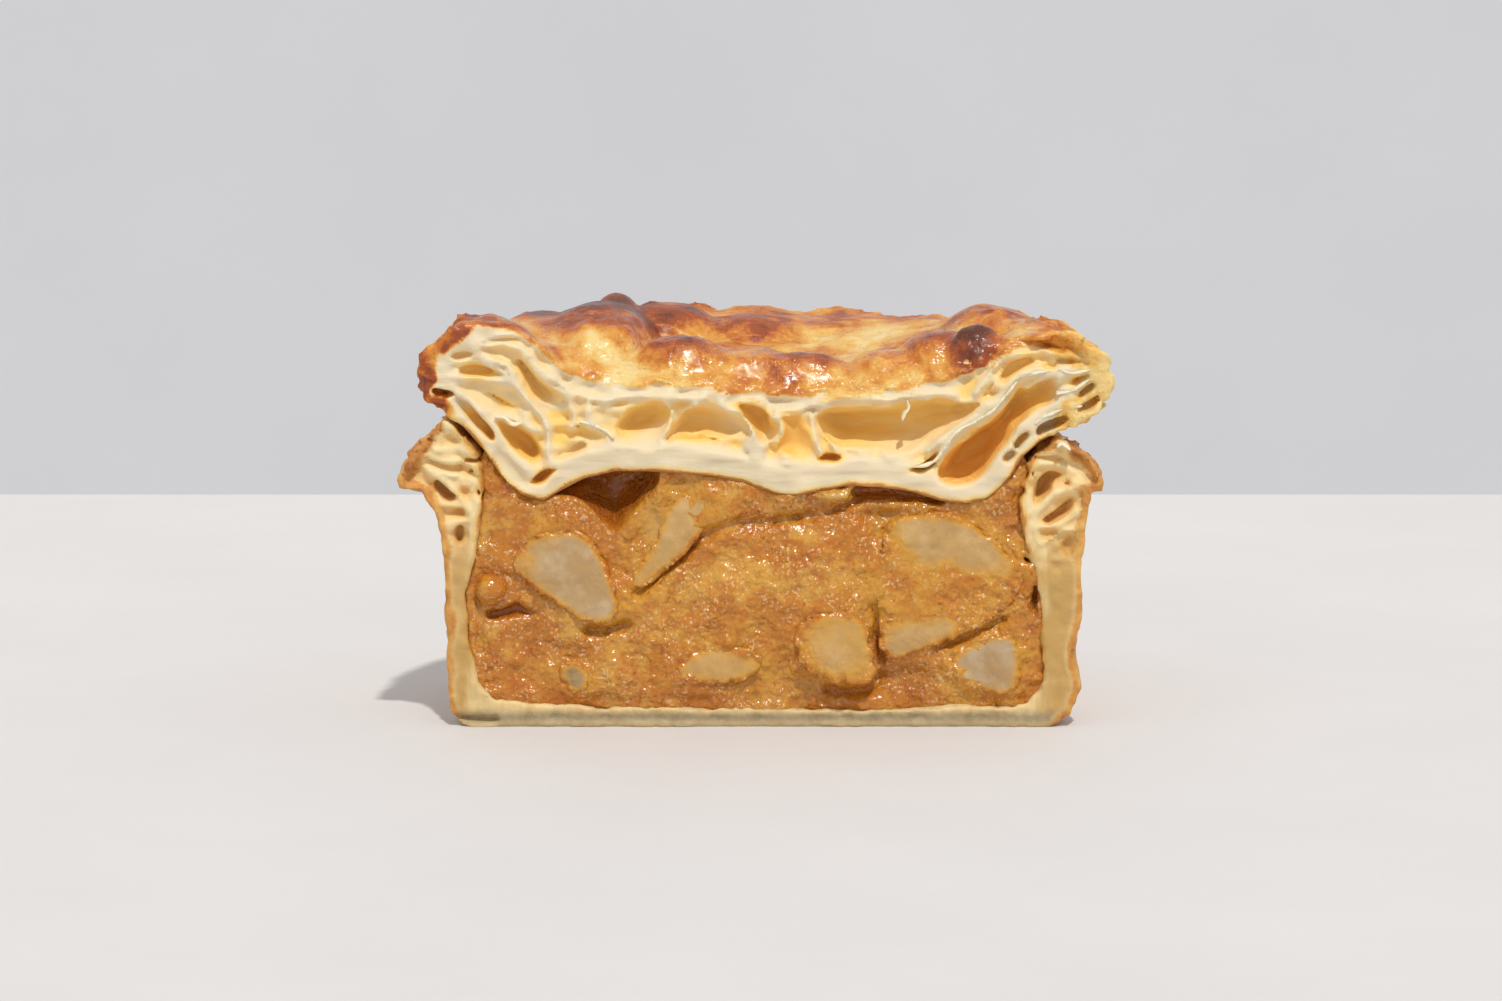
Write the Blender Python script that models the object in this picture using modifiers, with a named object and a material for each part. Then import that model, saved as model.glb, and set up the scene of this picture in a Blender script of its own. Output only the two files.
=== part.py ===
# Half of a round, deep-filled pastry pie, standing on its flat base with the cut side facing -Y.
# The tables are in millimetres; every mesh is made in metres. The origin is on the floor, under
# the middle of the pie's bounding box.

import math

import bmesh
import bpy
import numpy as np
from mathutils import Matrix, Vector, noise

# Driving dimensions, in millimetres
MM = 0.001
AXIS_X, CUT_Y = -0.22, -26.78  # where the round pie's own axis stood, on the cut
FIT_GAP = 0.35
ANGLE_STEPS = 30
CRAG_SIZE = 0.9
CRAG_WIDTH = 4.5
CRUST_DROP = 9.0
LID_RINGS = 13
LEAF_RIDGE = 0.45
RELIEF_DEPTH = 1.1
RELIEF_WIDTH = 6.0
RELIEF_STEP = 2.7
SLAB_THICKNESS = 9.0
CHUNK_BEVEL = 0.8
LARGE_POCKET = 9.0

# The case in half-section, as (radius, height) from the axis under the floor, out and up the wall,
# over the flared rim and down the inside. One list is the right end of the cut, one the left end.
CASE_RIGHT = [
    (0, 0), (23, 0), (46.2, 0), (49.4, 2.0), (50.8, 6), (49.9, 11), (51.0, 18.5), (50.6, 26),
    (51.1, 33), (52.0, 36.6), (54.0, 37.8), (54.2, 39.4), (52.2, 42), (49.6, 44.2), (47.0, 45.0),
    (43.9, 43.6), (42.3, 41.2), (40.9, 35.5), (41.9, 29), (44.3, 23.5), (44.6, 14), (45.3, 7),
    (42.6, 3.3), (24, 2.7), (0, 2.6),
]
CASE_LEFT = [
    (0, 0), (23, 0), (45.2, 0), (47.3, 1.4), (47.9, 6), (48.2, 12), (48.5, 19), (48.9, 27),
    (49.9, 33.4), (52.0, 36.6), (55.2, 37.5), (55.6, 39.6), (53.6, 43.4), (50.8, 46.2), (48.3, 48.3),
    (45.4, 46.2), (42.6, 42.6), (42.1, 37), (43.1, 30), (45.0, 22.5), (44.6, 14), (43.4, 7),
    (41.2, 4.2), (24, 3.0), (0, 2.6),
]
INSIDE_FROM, INSIDE_TO = 16, 25  # the points of the case that the filling touches
RIM_FROM, RIM_TO = 8, 15  # the points of the case with a craggy surface

# The top crust where the knife went through it, as (x, height) from left to right
CUT_TOP = [
    (-47.5, 62.8), (-43, 64.2), (-38.4, 63.6), (-34.5, 61.2), (-31.4, 57.4), (-27.5, 54.4),
    (-21, 53.4), (-15, 53.8), (-8.8, 53.6), (-4, 52.4), (0, 51.6), (6.9, 50.9), (14.7, 52.6),
    (23.3, 52.9), (30.3, 54.6), (35.8, 58.0), (38.4, 60.6), (43, 62.0), (48, 62.2), (51, 61.0),
]
# The lid's rolled edge, and its underside from the edge to the axis, as (radius, height)
LID_EDGE_RIGHT = [(51.6, 60.4), (54.4, 57.6), (55.6, 54.2), (54.6, 50.8), (51.4, 48.3)]
LID_EDGE_LEFT = [(48.6, 61.6), (51.2, 58.8), (52.3, 55.4), (51.5, 52.4), (49.6, 50.7)]
LID_UNDER_RIGHT = [
    (47.8, 46.6), (44.0, 45.0), (41.4, 42.6), (39.9, 40.2), (38.1, 37.8), (35.8, 35.9),
    (32.7, 35.2), (28.7, 35.6), (24.1, 37.0), (19.4, 37.8), (14.7, 38.0), (10, 37.2), (6.1, 36.4),
    (3, 36.8), (0, 37.8),
]
LID_UNDER_LEFT = [
    (48.0, 49.4), (44.6, 46.4), (42.0, 43.3), (40.2, 40.4), (38.4, 38.2), (36.4, 36.6),
    (33, 35.6), (30.3, 37.2), (26.7, 39.1), (22, 40.2), (16.6, 40.2), (12, 40.0), (7.6, 39.6),
    (3.6, 38.8), (0, 37.8),
]
MEETING = 2  # the point of the lid's underside where the filling's top begins

# The crust between the rim and the middle, and the blisters on it: (x, y behind the cut, spread
# in x, spread in y, rise), in the order back rim, shoulders, front lumps, dips
CRUST_MIDDLE, CRUST_RIM = 54.8, 60.8
CRUST_RISE_FROM, CRUST_RISE_TO = 14.0, 40.0
BLISTERS = [
    (-24, 39, 5.0, 5.0, 3.8), (-12, 42, 5.5, 5.0, 2.6), (-1, 43, 4.0, 5.0, 0.9), (38, 25, 7.5, 8.0, 3.2),
    (-42, 9, 8.0, 9.0, 3.4), (46, 7, 5.0, 9.0, 1.6), (-9, 12, 11.0, 5.5, 5.4), (-26, 14, 5.5, 5.0, 4.6),
    (34, 5, 3.8, 3.6, 3.4), (27, 10, 7.0, 5.0, 1.6), (-18, 27, 5.0, 4.5, 2.0), (22, 36, 5.0, 4.5, 1.4),
    (4, 25, 7.0, 5.0, 1.8), (-38, 27, 5.0, 6.0, 1.6), (15, 17, 8.0, 5.0, -0.6), (-5, 33, 9.0, 4.0, -1.4),
    (-30, 30, 4.0, 4.0, -1.5), (30, 34, 4.0, 5.0, -1.2),
]

# Air pockets between the leaves of the lid and of the case's walls, each a lens that opens at the
# cut: (x, z, length, height, tilt in degrees, bend, depth)
LID_POCKETS = [
    (20.2, 47.8, 22.0, 6.6, 3, -0.004, 16), (32.0, 49.4, 11.0, 3.6, 28, 0.0, 6),
    (0.9, 47.5, 5.4, 4.6, -35, 0.0, 12), (-8.7, 47.3, 12.4, 5.8, -8, -0.01, 14),
    (-18.3, 48.6, 9.0, 4.4, 14, 0.0, 9), (11.3, 42.4, 4.4, 1.6, 0, 0.02, 4),
    (26.1, 41.2, 4.8, 1.7, 25, 0.0, 5), (36.8, 46.3, 23.0, 7.4, 41, -0.006, 18),
    (39.8, 56.4, 6.4, 2.0, 27, 0.0, 6), (40.3, 43.4, 4.6, 1.5, 52, 0.0, 4),
    (50.2, 53.6, 5.0, 2.4, 40, 0.0, 5), (46.6, 49.0, 6.0, 1.7, 22, 0.0, 5),
    (-33.2, 52.2, 10.8, 4.6, -50, 0.02, 10), (-40.2, 51.4, 9.4, 3.2, -24, 0.0, 8),
    (-42.8, 55.8, 6.4, 1.6, -8, 0.02, 5), (-39.6, 58.6, 7.6, 1.8, -12, -0.02, 5),
    (-36.2, 44.8, 8.2, 4.0, -48, 0.0, 10), (-42.7, 48.9, 8.6, 1.7, -48, 0.0, 6),
    (-48.6, 53.0, 5.0, 1.5, -22, 0.0, 4), (-32.7, 39.6, 4.2, 1.5, 24, 0.0, 4),
    (-28.2, 43.9, 5.2, 2.0, 22, 0.0, 6), (-27.0, 49.6, 3.0, 5.2, 10, 0.0, 4),
]
CASE_POCKETS = [
    (44.9, 39.4, 3.0, 5.4, -8, 0.0, 6), (48.0, 38.6, 2.6, 3.6, 25, 0.0, 5),
    (44.8, 33.0, 2.8, 4.6, -20, 0.0, 5), (-46.2, 38.2, 4.2, 3.0, -35, 0.0, 5),
    (-49.6, 36.0, 3.4, 1.9, -50, 0.0, 4), (-45.6, 33.6, 2.0, 2.6, 0, 0.0, 4),
    (-46.4, 29.2, 1.5, 3.4, 12, 0.0, 4),
]

# Hollows where the filling has drawn back: the same seven numbers
FILLING_HOLLOWS = [
    (-25.2, 37.5, 15.4, 6.8, 4, 0.0, 12), (-37.2, 17.8, 9.4, 3.2, 6, 0.0, 5),
    (22.5, 35.8, 17.0, 2.6, -4, 0.0, 5), (12.0, 34.3, 12.0, 2.6, 18, 0.0, 4),
    (44.0, 19.5, 1.4, 9.0, 0, 0.0, 4),
]

# Pieces in the filling: name, outline on the cut as (x, z), front, back, share kept at the back
CHUNKS = [
    ("potato_left",
     [(-39.6, 25.6), (-34.0, 30.9), (-26.5, 31.4), (-22.4, 24.2), (-21.0, 17.4), (-25.8, 15.9),
      (-32.0, 20.2)],
     0.1, 13, 0.62),
    ("potato_upper",
     [(-13.2, 36.2), (-9.6, 36.8), (-6.0, 35.0), (-9.2, 29.3), (-15.0, 23.6), (-19.4, 21.2), (-20.2, 22.9),
      (-16.4, 27.6)],
     0.9, 13, 0.70),
    ("potato_right",
     [(20.0, 31.8), (22.8, 33.4), (26.4, 33.9), (31.0, 33.4), (35.8, 30.8), (39.7, 26.9), (42.9, 24.0),
      (39.0, 17.8), (28.2, 13.1), (23.4, 10.8), (19.9, 10.6), (19.0, 17.0), (18.9, 25.0)],
     0.0, 14, 0.60),
    ("potato_right_low",
     [(29.0, 10.6), (38.4, 15.6), (41.2, 13.2), (41.1, 5.9), (38.2, 4.9), (33.6, 6.2)],
     0.3, 11, 0.62),
    ("potato_front",
     [(5.8, 15.4), (9.4, 18.3), (14.8, 18.9), (17.3, 16.2), (18.9, 9.0), (17.2, 6.7), (12.8, 6.6),
      (6.4, 9.6)],
     -1.4, 9, 0.66),
    ("potato_low",
     [(-13.6, 8.4), (-8.8, 12.8), (-2.2, 12.9), (1.8, 10.2), (-0.6, 7.6), (-6.0, 6.6), (-11.2, 6.9)],
     0.5, 10, 0.66),
    ("potato_back",
     [(-20.6, 32.2), (-18.4, 34.4), (-15.8, 33.8), (-15.6, 31.2), (-18.6, 30.2)],
     3.4, 9, 0.70),
    ("onion",
     [(-31.2, 9.2), (-28.4, 10.7), (-25.8, 8.7), (-26.3, 5.8), (-29.0, 4.9)],
     0.4, 5, 0.70),
]
PEA_CENTRE, PEA_RADIUS = (-41.4, 1.6, 21.6), 2.6

COLOURS = {
    "baked": ((0.62, 0.33, 0.11), 0.45),
    "dough": ((0.72, 0.52, 0.26), 0.55),
    "curry": ((0.52, 0.22, 0.04), 0.35),
    "potato": ((0.62, 0.43, 0.18), 0.45),
    "onion": ((0.42, 0.32, 0.14), 0.30),
    "pea": ((0.50, 0.26, 0.06), 0.40),
}


def clear_scene():
    for obj in list(bpy.data.objects):
        bpy.data.objects.remove(obj)


def make_collection(name, rendered=True):
    collection = bpy.data.collections.new(name)
    collection.hide_render = not rendered
    bpy.context.scene.collection.children.link(collection)
    return collection


def make_material(name):
    colour, roughness = COLOURS[name]
    material = bpy.data.materials.new(name)
    material.use_nodes = True
    surface = material.node_tree.nodes["Principled BSDF"]
    surface.inputs["Base Color"].default_value = (*colour, 1)
    surface.inputs["Roughness"].default_value = roughness
    surface.inputs["Metallic"].default_value = 0.0
    return material


def at(x, back, z):
    """A point given from the pie's axis, with back measured from the cut, in metres."""
    return Vector((x + AXIS_X, back + CUT_Y, z)) * MM


def smooth_step(value, start, end):
    t = min(max((value - start) / (end - start), 0.0), 1.0)
    return t * t * (3 - 2 * t)


def blended(right, left, angle):
    """The half-section at this angle round the axis: the right end's at 0, the left end's at pi."""
    share = (1 - math.cos(angle)) / 2
    return [
        (a[0] * (1 - share) + b[0] * share, a[1] * (1 - share) + b[1] * share)
        for a, b in zip(right, left)
    ]


def crag(angle, radius, height, size=CRAG_SIZE):
    """How far a baked edge stands out or falls back there. It fades to nothing at the cut."""
    place = Vector((radius * math.cos(angle), radius * math.sin(angle), height)) / CRAG_WIDTH
    return size * noise.noise(place) * smooth_step(math.sin(angle), 0.0, 0.12)


def leafed(edge, angle):
    """The rolled edge with a ridge for each leaf of pastry that ends in it."""
    ridged = []
    for i, (first, second) in enumerate(zip(edge, edge[1:])):
        ridged.append(first)
        between = ((first[0] + second[0]) / 2, (first[1] + second[1]) / 2)
        out = LEAF_RIDGE * (1.6 + noise.noise(Vector((angle * 9, i * 3.7, 5.0))))
        ridged.append((between[0] + out, between[1]))
    return ridged + edge[-1:]


def case_section(angle):
    section = blended(CASE_RIGHT, CASE_LEFT, angle)
    for i in range(RIM_FROM, RIM_TO):
        radius, height = section[i]
        section[i] = (radius + crag(angle, radius, height), height + crag(angle, height, radius) / 3)
    return section


def crust_height(x, y):
    """The baked top, with the cut line pulled down at the front where the knife pressed on it."""
    across = smooth_step(math.hypot(x, y), CRUST_RISE_FROM, CRUST_RISE_TO)
    height = CRUST_MIDDLE + (CRUST_RIM - CRUST_MIDDLE) * across
    for bx, by, spread_x, spread_y, rise in BLISTERS:
        height += rise * math.exp(-(((x - bx) / spread_x) ** 2) - ((y - by) / spread_y) ** 2)
    at_cut = float(np.interp(x, *zip(*CUT_TOP)))
    return at_cut + (height - at_cut) * smooth_step(y, 0.0, CRUST_DROP)


def lid_under(angle):
    return blended(LID_UNDER_RIGHT, LID_UNDER_LEFT, angle)


def lid_section(angle):
    """From the middle of the crust, out over the rolled edge and back along the underside."""
    edge = leafed(blended(LID_EDGE_RIGHT, LID_EDGE_LEFT, angle), angle)
    reach = edge[0][0] - 2.5
    section = []
    for ring in range(LID_RINGS):
        radius = reach * ring / (LID_RINGS - 1)
        section.append((radius, crust_height(radius * math.cos(angle), radius * math.sin(angle))))
    drop = section[-1][1] - edge[0][1]
    for i, (radius, height) in enumerate(edge):
        lift = drop * max(0.0, 1 - i / 4) * 0.5
        section.append((radius + crag(angle, radius, height), height + lift))
    return section + lid_under(angle)


def filling_section(angle):
    """The space between the case's inside and the lid's underside, less the gaps."""
    inside = case_section(angle)[INSIDE_FROM:INSIDE_TO]
    section = [(max(radius - FIT_GAP, 0.0), height + FIT_GAP) for radius, height in reversed(inside)]
    section[-1] = (section[-1][0] - FIT_GAP, section[-1][1] - 2 * FIT_GAP)
    for radius, height in lid_under(angle)[MEETING + 1:]:
        section.append((max(radius - FIT_GAP, 0.0), height - 2 * FIT_GAP))
    return section


def loft_half(name, section_at):
    """A half-round solid: the section swept from the cut's right end to its left end, and closed by
    the cut. The section starts and ends on the axis."""
    mesh = bmesh.new()
    rows = []
    for step in range(ANGLE_STEPS + 1):
        angle = math.pi * step / ANGLE_STEPS
        section = section_at(angle)
        row = []
        for i, (radius, height) in enumerate(section):
            if rows and i in (0, len(section) - 1):
                row.append(rows[0][i])
                continue
            row.append(mesh.verts.new(at(radius * math.cos(angle), radius * math.sin(angle), height)))
        rows.append(row)
    for before, after in zip(rows, rows[1:]):
        for i in range(len(before) - 1):
            corners = dict.fromkeys((before[i], before[i + 1], after[i + 1], after[i]))
            mesh.faces.new(corners)
    mesh.faces.new(reversed(rows[0]))
    mesh.faces.new(rows[-1])
    return to_object(name, mesh)


def to_object(name, mesh):
    bmesh.ops.recalc_face_normals(mesh, faces=mesh.faces)
    if mesh.calc_volume(signed=True) < 0:
        bmesh.ops.reverse_faces(mesh, faces=mesh.faces)
    data = bpy.data.meshes.new(name)
    mesh.to_mesh(data)
    mesh.free()
    return bpy.data.objects.new(name, data)


def place(obj, collection, material=None):
    collection.objects.link(obj)
    if material:
        obj.data.materials.append(material)
    return obj


def lens(name, x, z, length, height, tilt, bend, depth):
    """A bent, tilted ellipsoid centred on the cut plane: half of it is the pocket."""
    mesh = bmesh.new()
    rounds, rings = (12, 8) if length > LARGE_POCKET else (8, 6)
    bmesh.ops.create_uvsphere(mesh, u_segments=rounds, v_segments=rings, radius=1.0)
    turn = Matrix.Rotation(math.radians(-tilt), 3, "Y")
    for vertex in mesh.verts:
        along, back, up = vertex.co.z * length / 2, vertex.co.y * depth, vertex.co.x * height / 2
        up += bend * (along * along - (length / 2) ** 2 / 3)
        vertex.co = at(*(turn @ Vector((along, back, up)) + Vector((x, 0, z))))
    return to_object(name, mesh)


def wedge(name, outline, front, back, kept, grown=0.0):
    """A knife-cut chunk: its outline on the cut, drawn back and narrowed, with softened edges."""
    mesh = bmesh.new()
    middle = Vector((sum(p[0] for p in outline), sum(p[1] for p in outline))) / len(outline)
    ends = []
    stations = ((front, 0.94), (front + 1.6, 1.0), ((front + back) / 2, (1 + kept) / 2), (back, kept))
    for depth, share in stations:
        ring = [middle + (Vector(p) - middle) * share for p in outline]
        ends.append([mesh.verts.new(at(p.x, depth, p.y)) for p in ring])
    for near, far in zip(ends, ends[1:]):
        for i in range(len(outline)):
            j = (i + 1) % len(outline)
            mesh.faces.new((near[i], near[j], far[j], far[i]))
    mesh.faces.new(ends[0])
    mesh.faces.new(ends[-1])
    chunk = to_object(name, mesh)
    for vertex, normal in [(v, v.normal.copy()) for v in chunk.data.vertices]:
        vertex.co += normal * grown * MM
    return chunk


def pea(name, grown=0.0):
    mesh = bmesh.new()
    bmesh.ops.create_uvsphere(mesh, u_segments=12, v_segments=8, radius=(PEA_RADIUS + grown) * MM)
    bmesh.ops.translate(mesh, verts=mesh.verts, vec=at(*PEA_CENTRE))
    return to_object(name, mesh)


def relief(x, z):
    """How far the torn face of the filling lies behind the cut there."""
    broad = noise.noise(Vector((x, 11.0, z)) / RELIEF_WIDTH)
    fine = noise.noise(Vector((x, 31.0, z)) / (RELIEF_WIDTH / 2.3))
    return RELIEF_DEPTH * (1.0 + broad + 0.5 * fine)


def relief_slab(name):
    """A slab in front of the cut whose back is the torn face of the filling."""
    half_width, height = 52.0, 46.0
    mesh = bmesh.new()
    columns, rows = round(2 * half_width / RELIEF_STEP), round(height / RELIEF_STEP)
    grid = []
    for row in range(rows + 1):
        z = height * row / rows
        line = []
        for column in range(columns + 1):
            x = -half_width + 2 * half_width * column / columns
            line.append(mesh.verts.new(at(x, relief(x, z), z)))
        grid.append(line)
    for low, high in zip(grid, grid[1:]):
        for i in range(columns):
            mesh.faces.new((low[i], low[i + 1], high[i + 1], high[i]))
    front = bmesh.ops.extrude_face_region(mesh, geom=mesh.faces[:])
    for part in front["geom"]:
        if isinstance(part, bmesh.types.BMVert):
            part.co.y = (CUT_Y - SLAB_THICKNESS) * MM
    return to_object(name, mesh)


def carve(obj, cutters):
    modifier = obj.modifiers.new("carve_" + cutters.name, "BOOLEAN")
    modifier.operation = "DIFFERENCE"
    modifier.operand_type = "COLLECTION"
    modifier.collection = cutters
    modifier.solver = "EXACT"


def settle(obj):
    """Applies the cuts and drops any scrap that they leave loose."""
    bpy.context.view_layer.update()
    graph = bpy.context.evaluated_depsgraph_get()
    data = bpy.data.meshes.new_from_object(obj.evaluated_get(graph))
    obj.modifiers.clear()
    mesh = bmesh.new()
    mesh.from_mesh(data)
    left, islands = set(mesh.verts), []
    while left:
        island, edge_of = set(), [left.pop()]
        while edge_of:
            vertex = edge_of.pop()
            island.add(vertex)
            near = {e.other_vert(vertex) for e in vertex.link_edges} & left
            left -= near
            edge_of.extend(near)
        islands.append(island)
    scraps = sorted(islands, key=len)[:-1]
    bmesh.ops.delete(mesh, geom=[v for island in scraps for v in island], context="VERTS")
    mesh.to_mesh(data)
    mesh.free()
    obj.data = data


def shade(obj):
    obj.data.shade_smooth()
    obj.data.set_sharp_from_angle(angle=math.radians(40))


def build():
    clear_scene()
    pie = make_collection("pie_half")
    lid_cutters = make_collection("lid_cutters", rendered=False)
    case_cutters = make_collection("case_cutters", rendered=False)
    filling_cutters = make_collection("filling_cutters", rendered=False)
    materials = {name: make_material(name) for name in COLOURS}

    case = place(loft_half("pastry_case", case_section), pie, materials["dough"])
    lid = place(loft_half("pastry_lid", lid_section), pie, materials["baked"])
    filling = place(loft_half("filling", filling_section), pie, materials["curry"])

    for i, pocket in enumerate(LID_POCKETS):
        place(lens(f"lid_pocket_{i}", *pocket), lid_cutters)
    for i, pocket in enumerate(CASE_POCKETS):
        place(lens(f"case_pocket_{i}", *pocket), case_cutters)
    for i, hollow in enumerate(FILLING_HOLLOWS):
        place(lens(f"filling_hollow_{i}", *hollow), filling_cutters)
    place(relief_slab("filling_face"), filling_cutters)

    for name, *shape in CHUNKS:
        kind = "onion" if name == "onion" else "potato"
        chunk = place(wedge(name, *shape), pie, materials[kind])
        soft = chunk.modifiers.new("soft_edges", "BEVEL")
        soft.width = CHUNK_BEVEL * MM
        soft.segments = 1
        soft.limit_method = "ANGLE"
        place(wedge(name + "_seat", *shape, grown=FIT_GAP * 1.4), filling_cutters)
    place(pea("pea"), pie, materials["pea"])
    place(pea("pea_seat", grown=FIT_GAP * 1.4), filling_cutters)

    for obj, cutters in ((case, case_cutters), (lid, lid_cutters), (filling, filling_cutters)):
        carve(obj, cutters)
        settle(obj)
    for cutters in (lid_cutters, case_cutters, filling_cutters):
        for cutter in list(cutters.objects):
            bpy.data.objects.remove(cutter)
    for obj in pie.objects:
        shade(obj)


build()
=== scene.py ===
import math

import bpy
import numpy as np
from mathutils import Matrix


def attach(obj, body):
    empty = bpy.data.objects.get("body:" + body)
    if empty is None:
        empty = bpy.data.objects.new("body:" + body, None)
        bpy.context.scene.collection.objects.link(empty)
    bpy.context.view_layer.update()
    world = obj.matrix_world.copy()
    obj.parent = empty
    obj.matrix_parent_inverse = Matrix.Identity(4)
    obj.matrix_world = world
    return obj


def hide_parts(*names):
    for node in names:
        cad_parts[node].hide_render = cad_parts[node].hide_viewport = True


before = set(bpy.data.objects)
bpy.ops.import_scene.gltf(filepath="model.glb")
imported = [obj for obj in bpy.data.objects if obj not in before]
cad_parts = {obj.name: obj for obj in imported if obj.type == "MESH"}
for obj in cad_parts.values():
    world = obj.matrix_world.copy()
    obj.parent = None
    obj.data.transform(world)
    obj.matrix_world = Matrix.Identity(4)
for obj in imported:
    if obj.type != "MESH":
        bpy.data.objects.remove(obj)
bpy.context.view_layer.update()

mm = 0.001
pieAxis = (-0.22, -26.78)  # where the round pie's own axis stands, in mm; y is counted back from the cut
angleStops = 9  # half-sections worked out between the right end and the left end of the cut
ringStep = 0.5  # mm between the rings that a half-section is swept on
stepGrowth = 1.07  # how much wider each step of a block gets towards the back


# shaping numbers

def ease(value, start, end):  # 0 before start, 1 after end
    t = np.clip((value - start) / (end - start), 0.0, 1.0)
    return t * t * (3 - 2 * t)


def softMax(first, second, blend):  # the larger of two, rounded over where they meet
    h = np.maximum(blend - np.abs(first - second), 0.0) / blend
    return np.maximum(first, second) + h * h * blend / 4


def rounded(outline, times=2):  # cuts each corner of a closed outline
    for _ in range(times):
        ends = outline[1:] + outline[:1]
        outline = [
            (a[0] * (1 - t) + b[0] * t, a[1] * (1 - t) + b[1] * t)
            for a, b in zip(outline, ends) for t in (0.25, 0.75)
        ]
    return outline


def outlineDistance(u, v, outline):  # how far outside a closed outline each point is, negative inside
    best = np.full(u.shape, 1e9)
    odd = np.zeros(u.shape, bool)
    for (u0, v0), (u1, v1) in zip(outline, outline[1:] + outline[:1]):
        du, dv = u1 - u0, v1 - v0
        t = np.clip(((u - u0) * du + (v - v0) * dv) / (du * du + dv * dv + 1e-9), 0.0, 1.0)
        best = np.minimum(best, (u - u0 - t * du) ** 2 + (v - v0 - t * dv) ** 2)
        if v0 != v1:
            odd ^= ((v0 > v) != (v1 > v)) & (u < du * (v - v0) / dv + u0)
    return np.where(odd, -1.0, 1.0) * np.sqrt(best)


# a block of sample points that a shape is worked out on, then skinned

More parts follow.
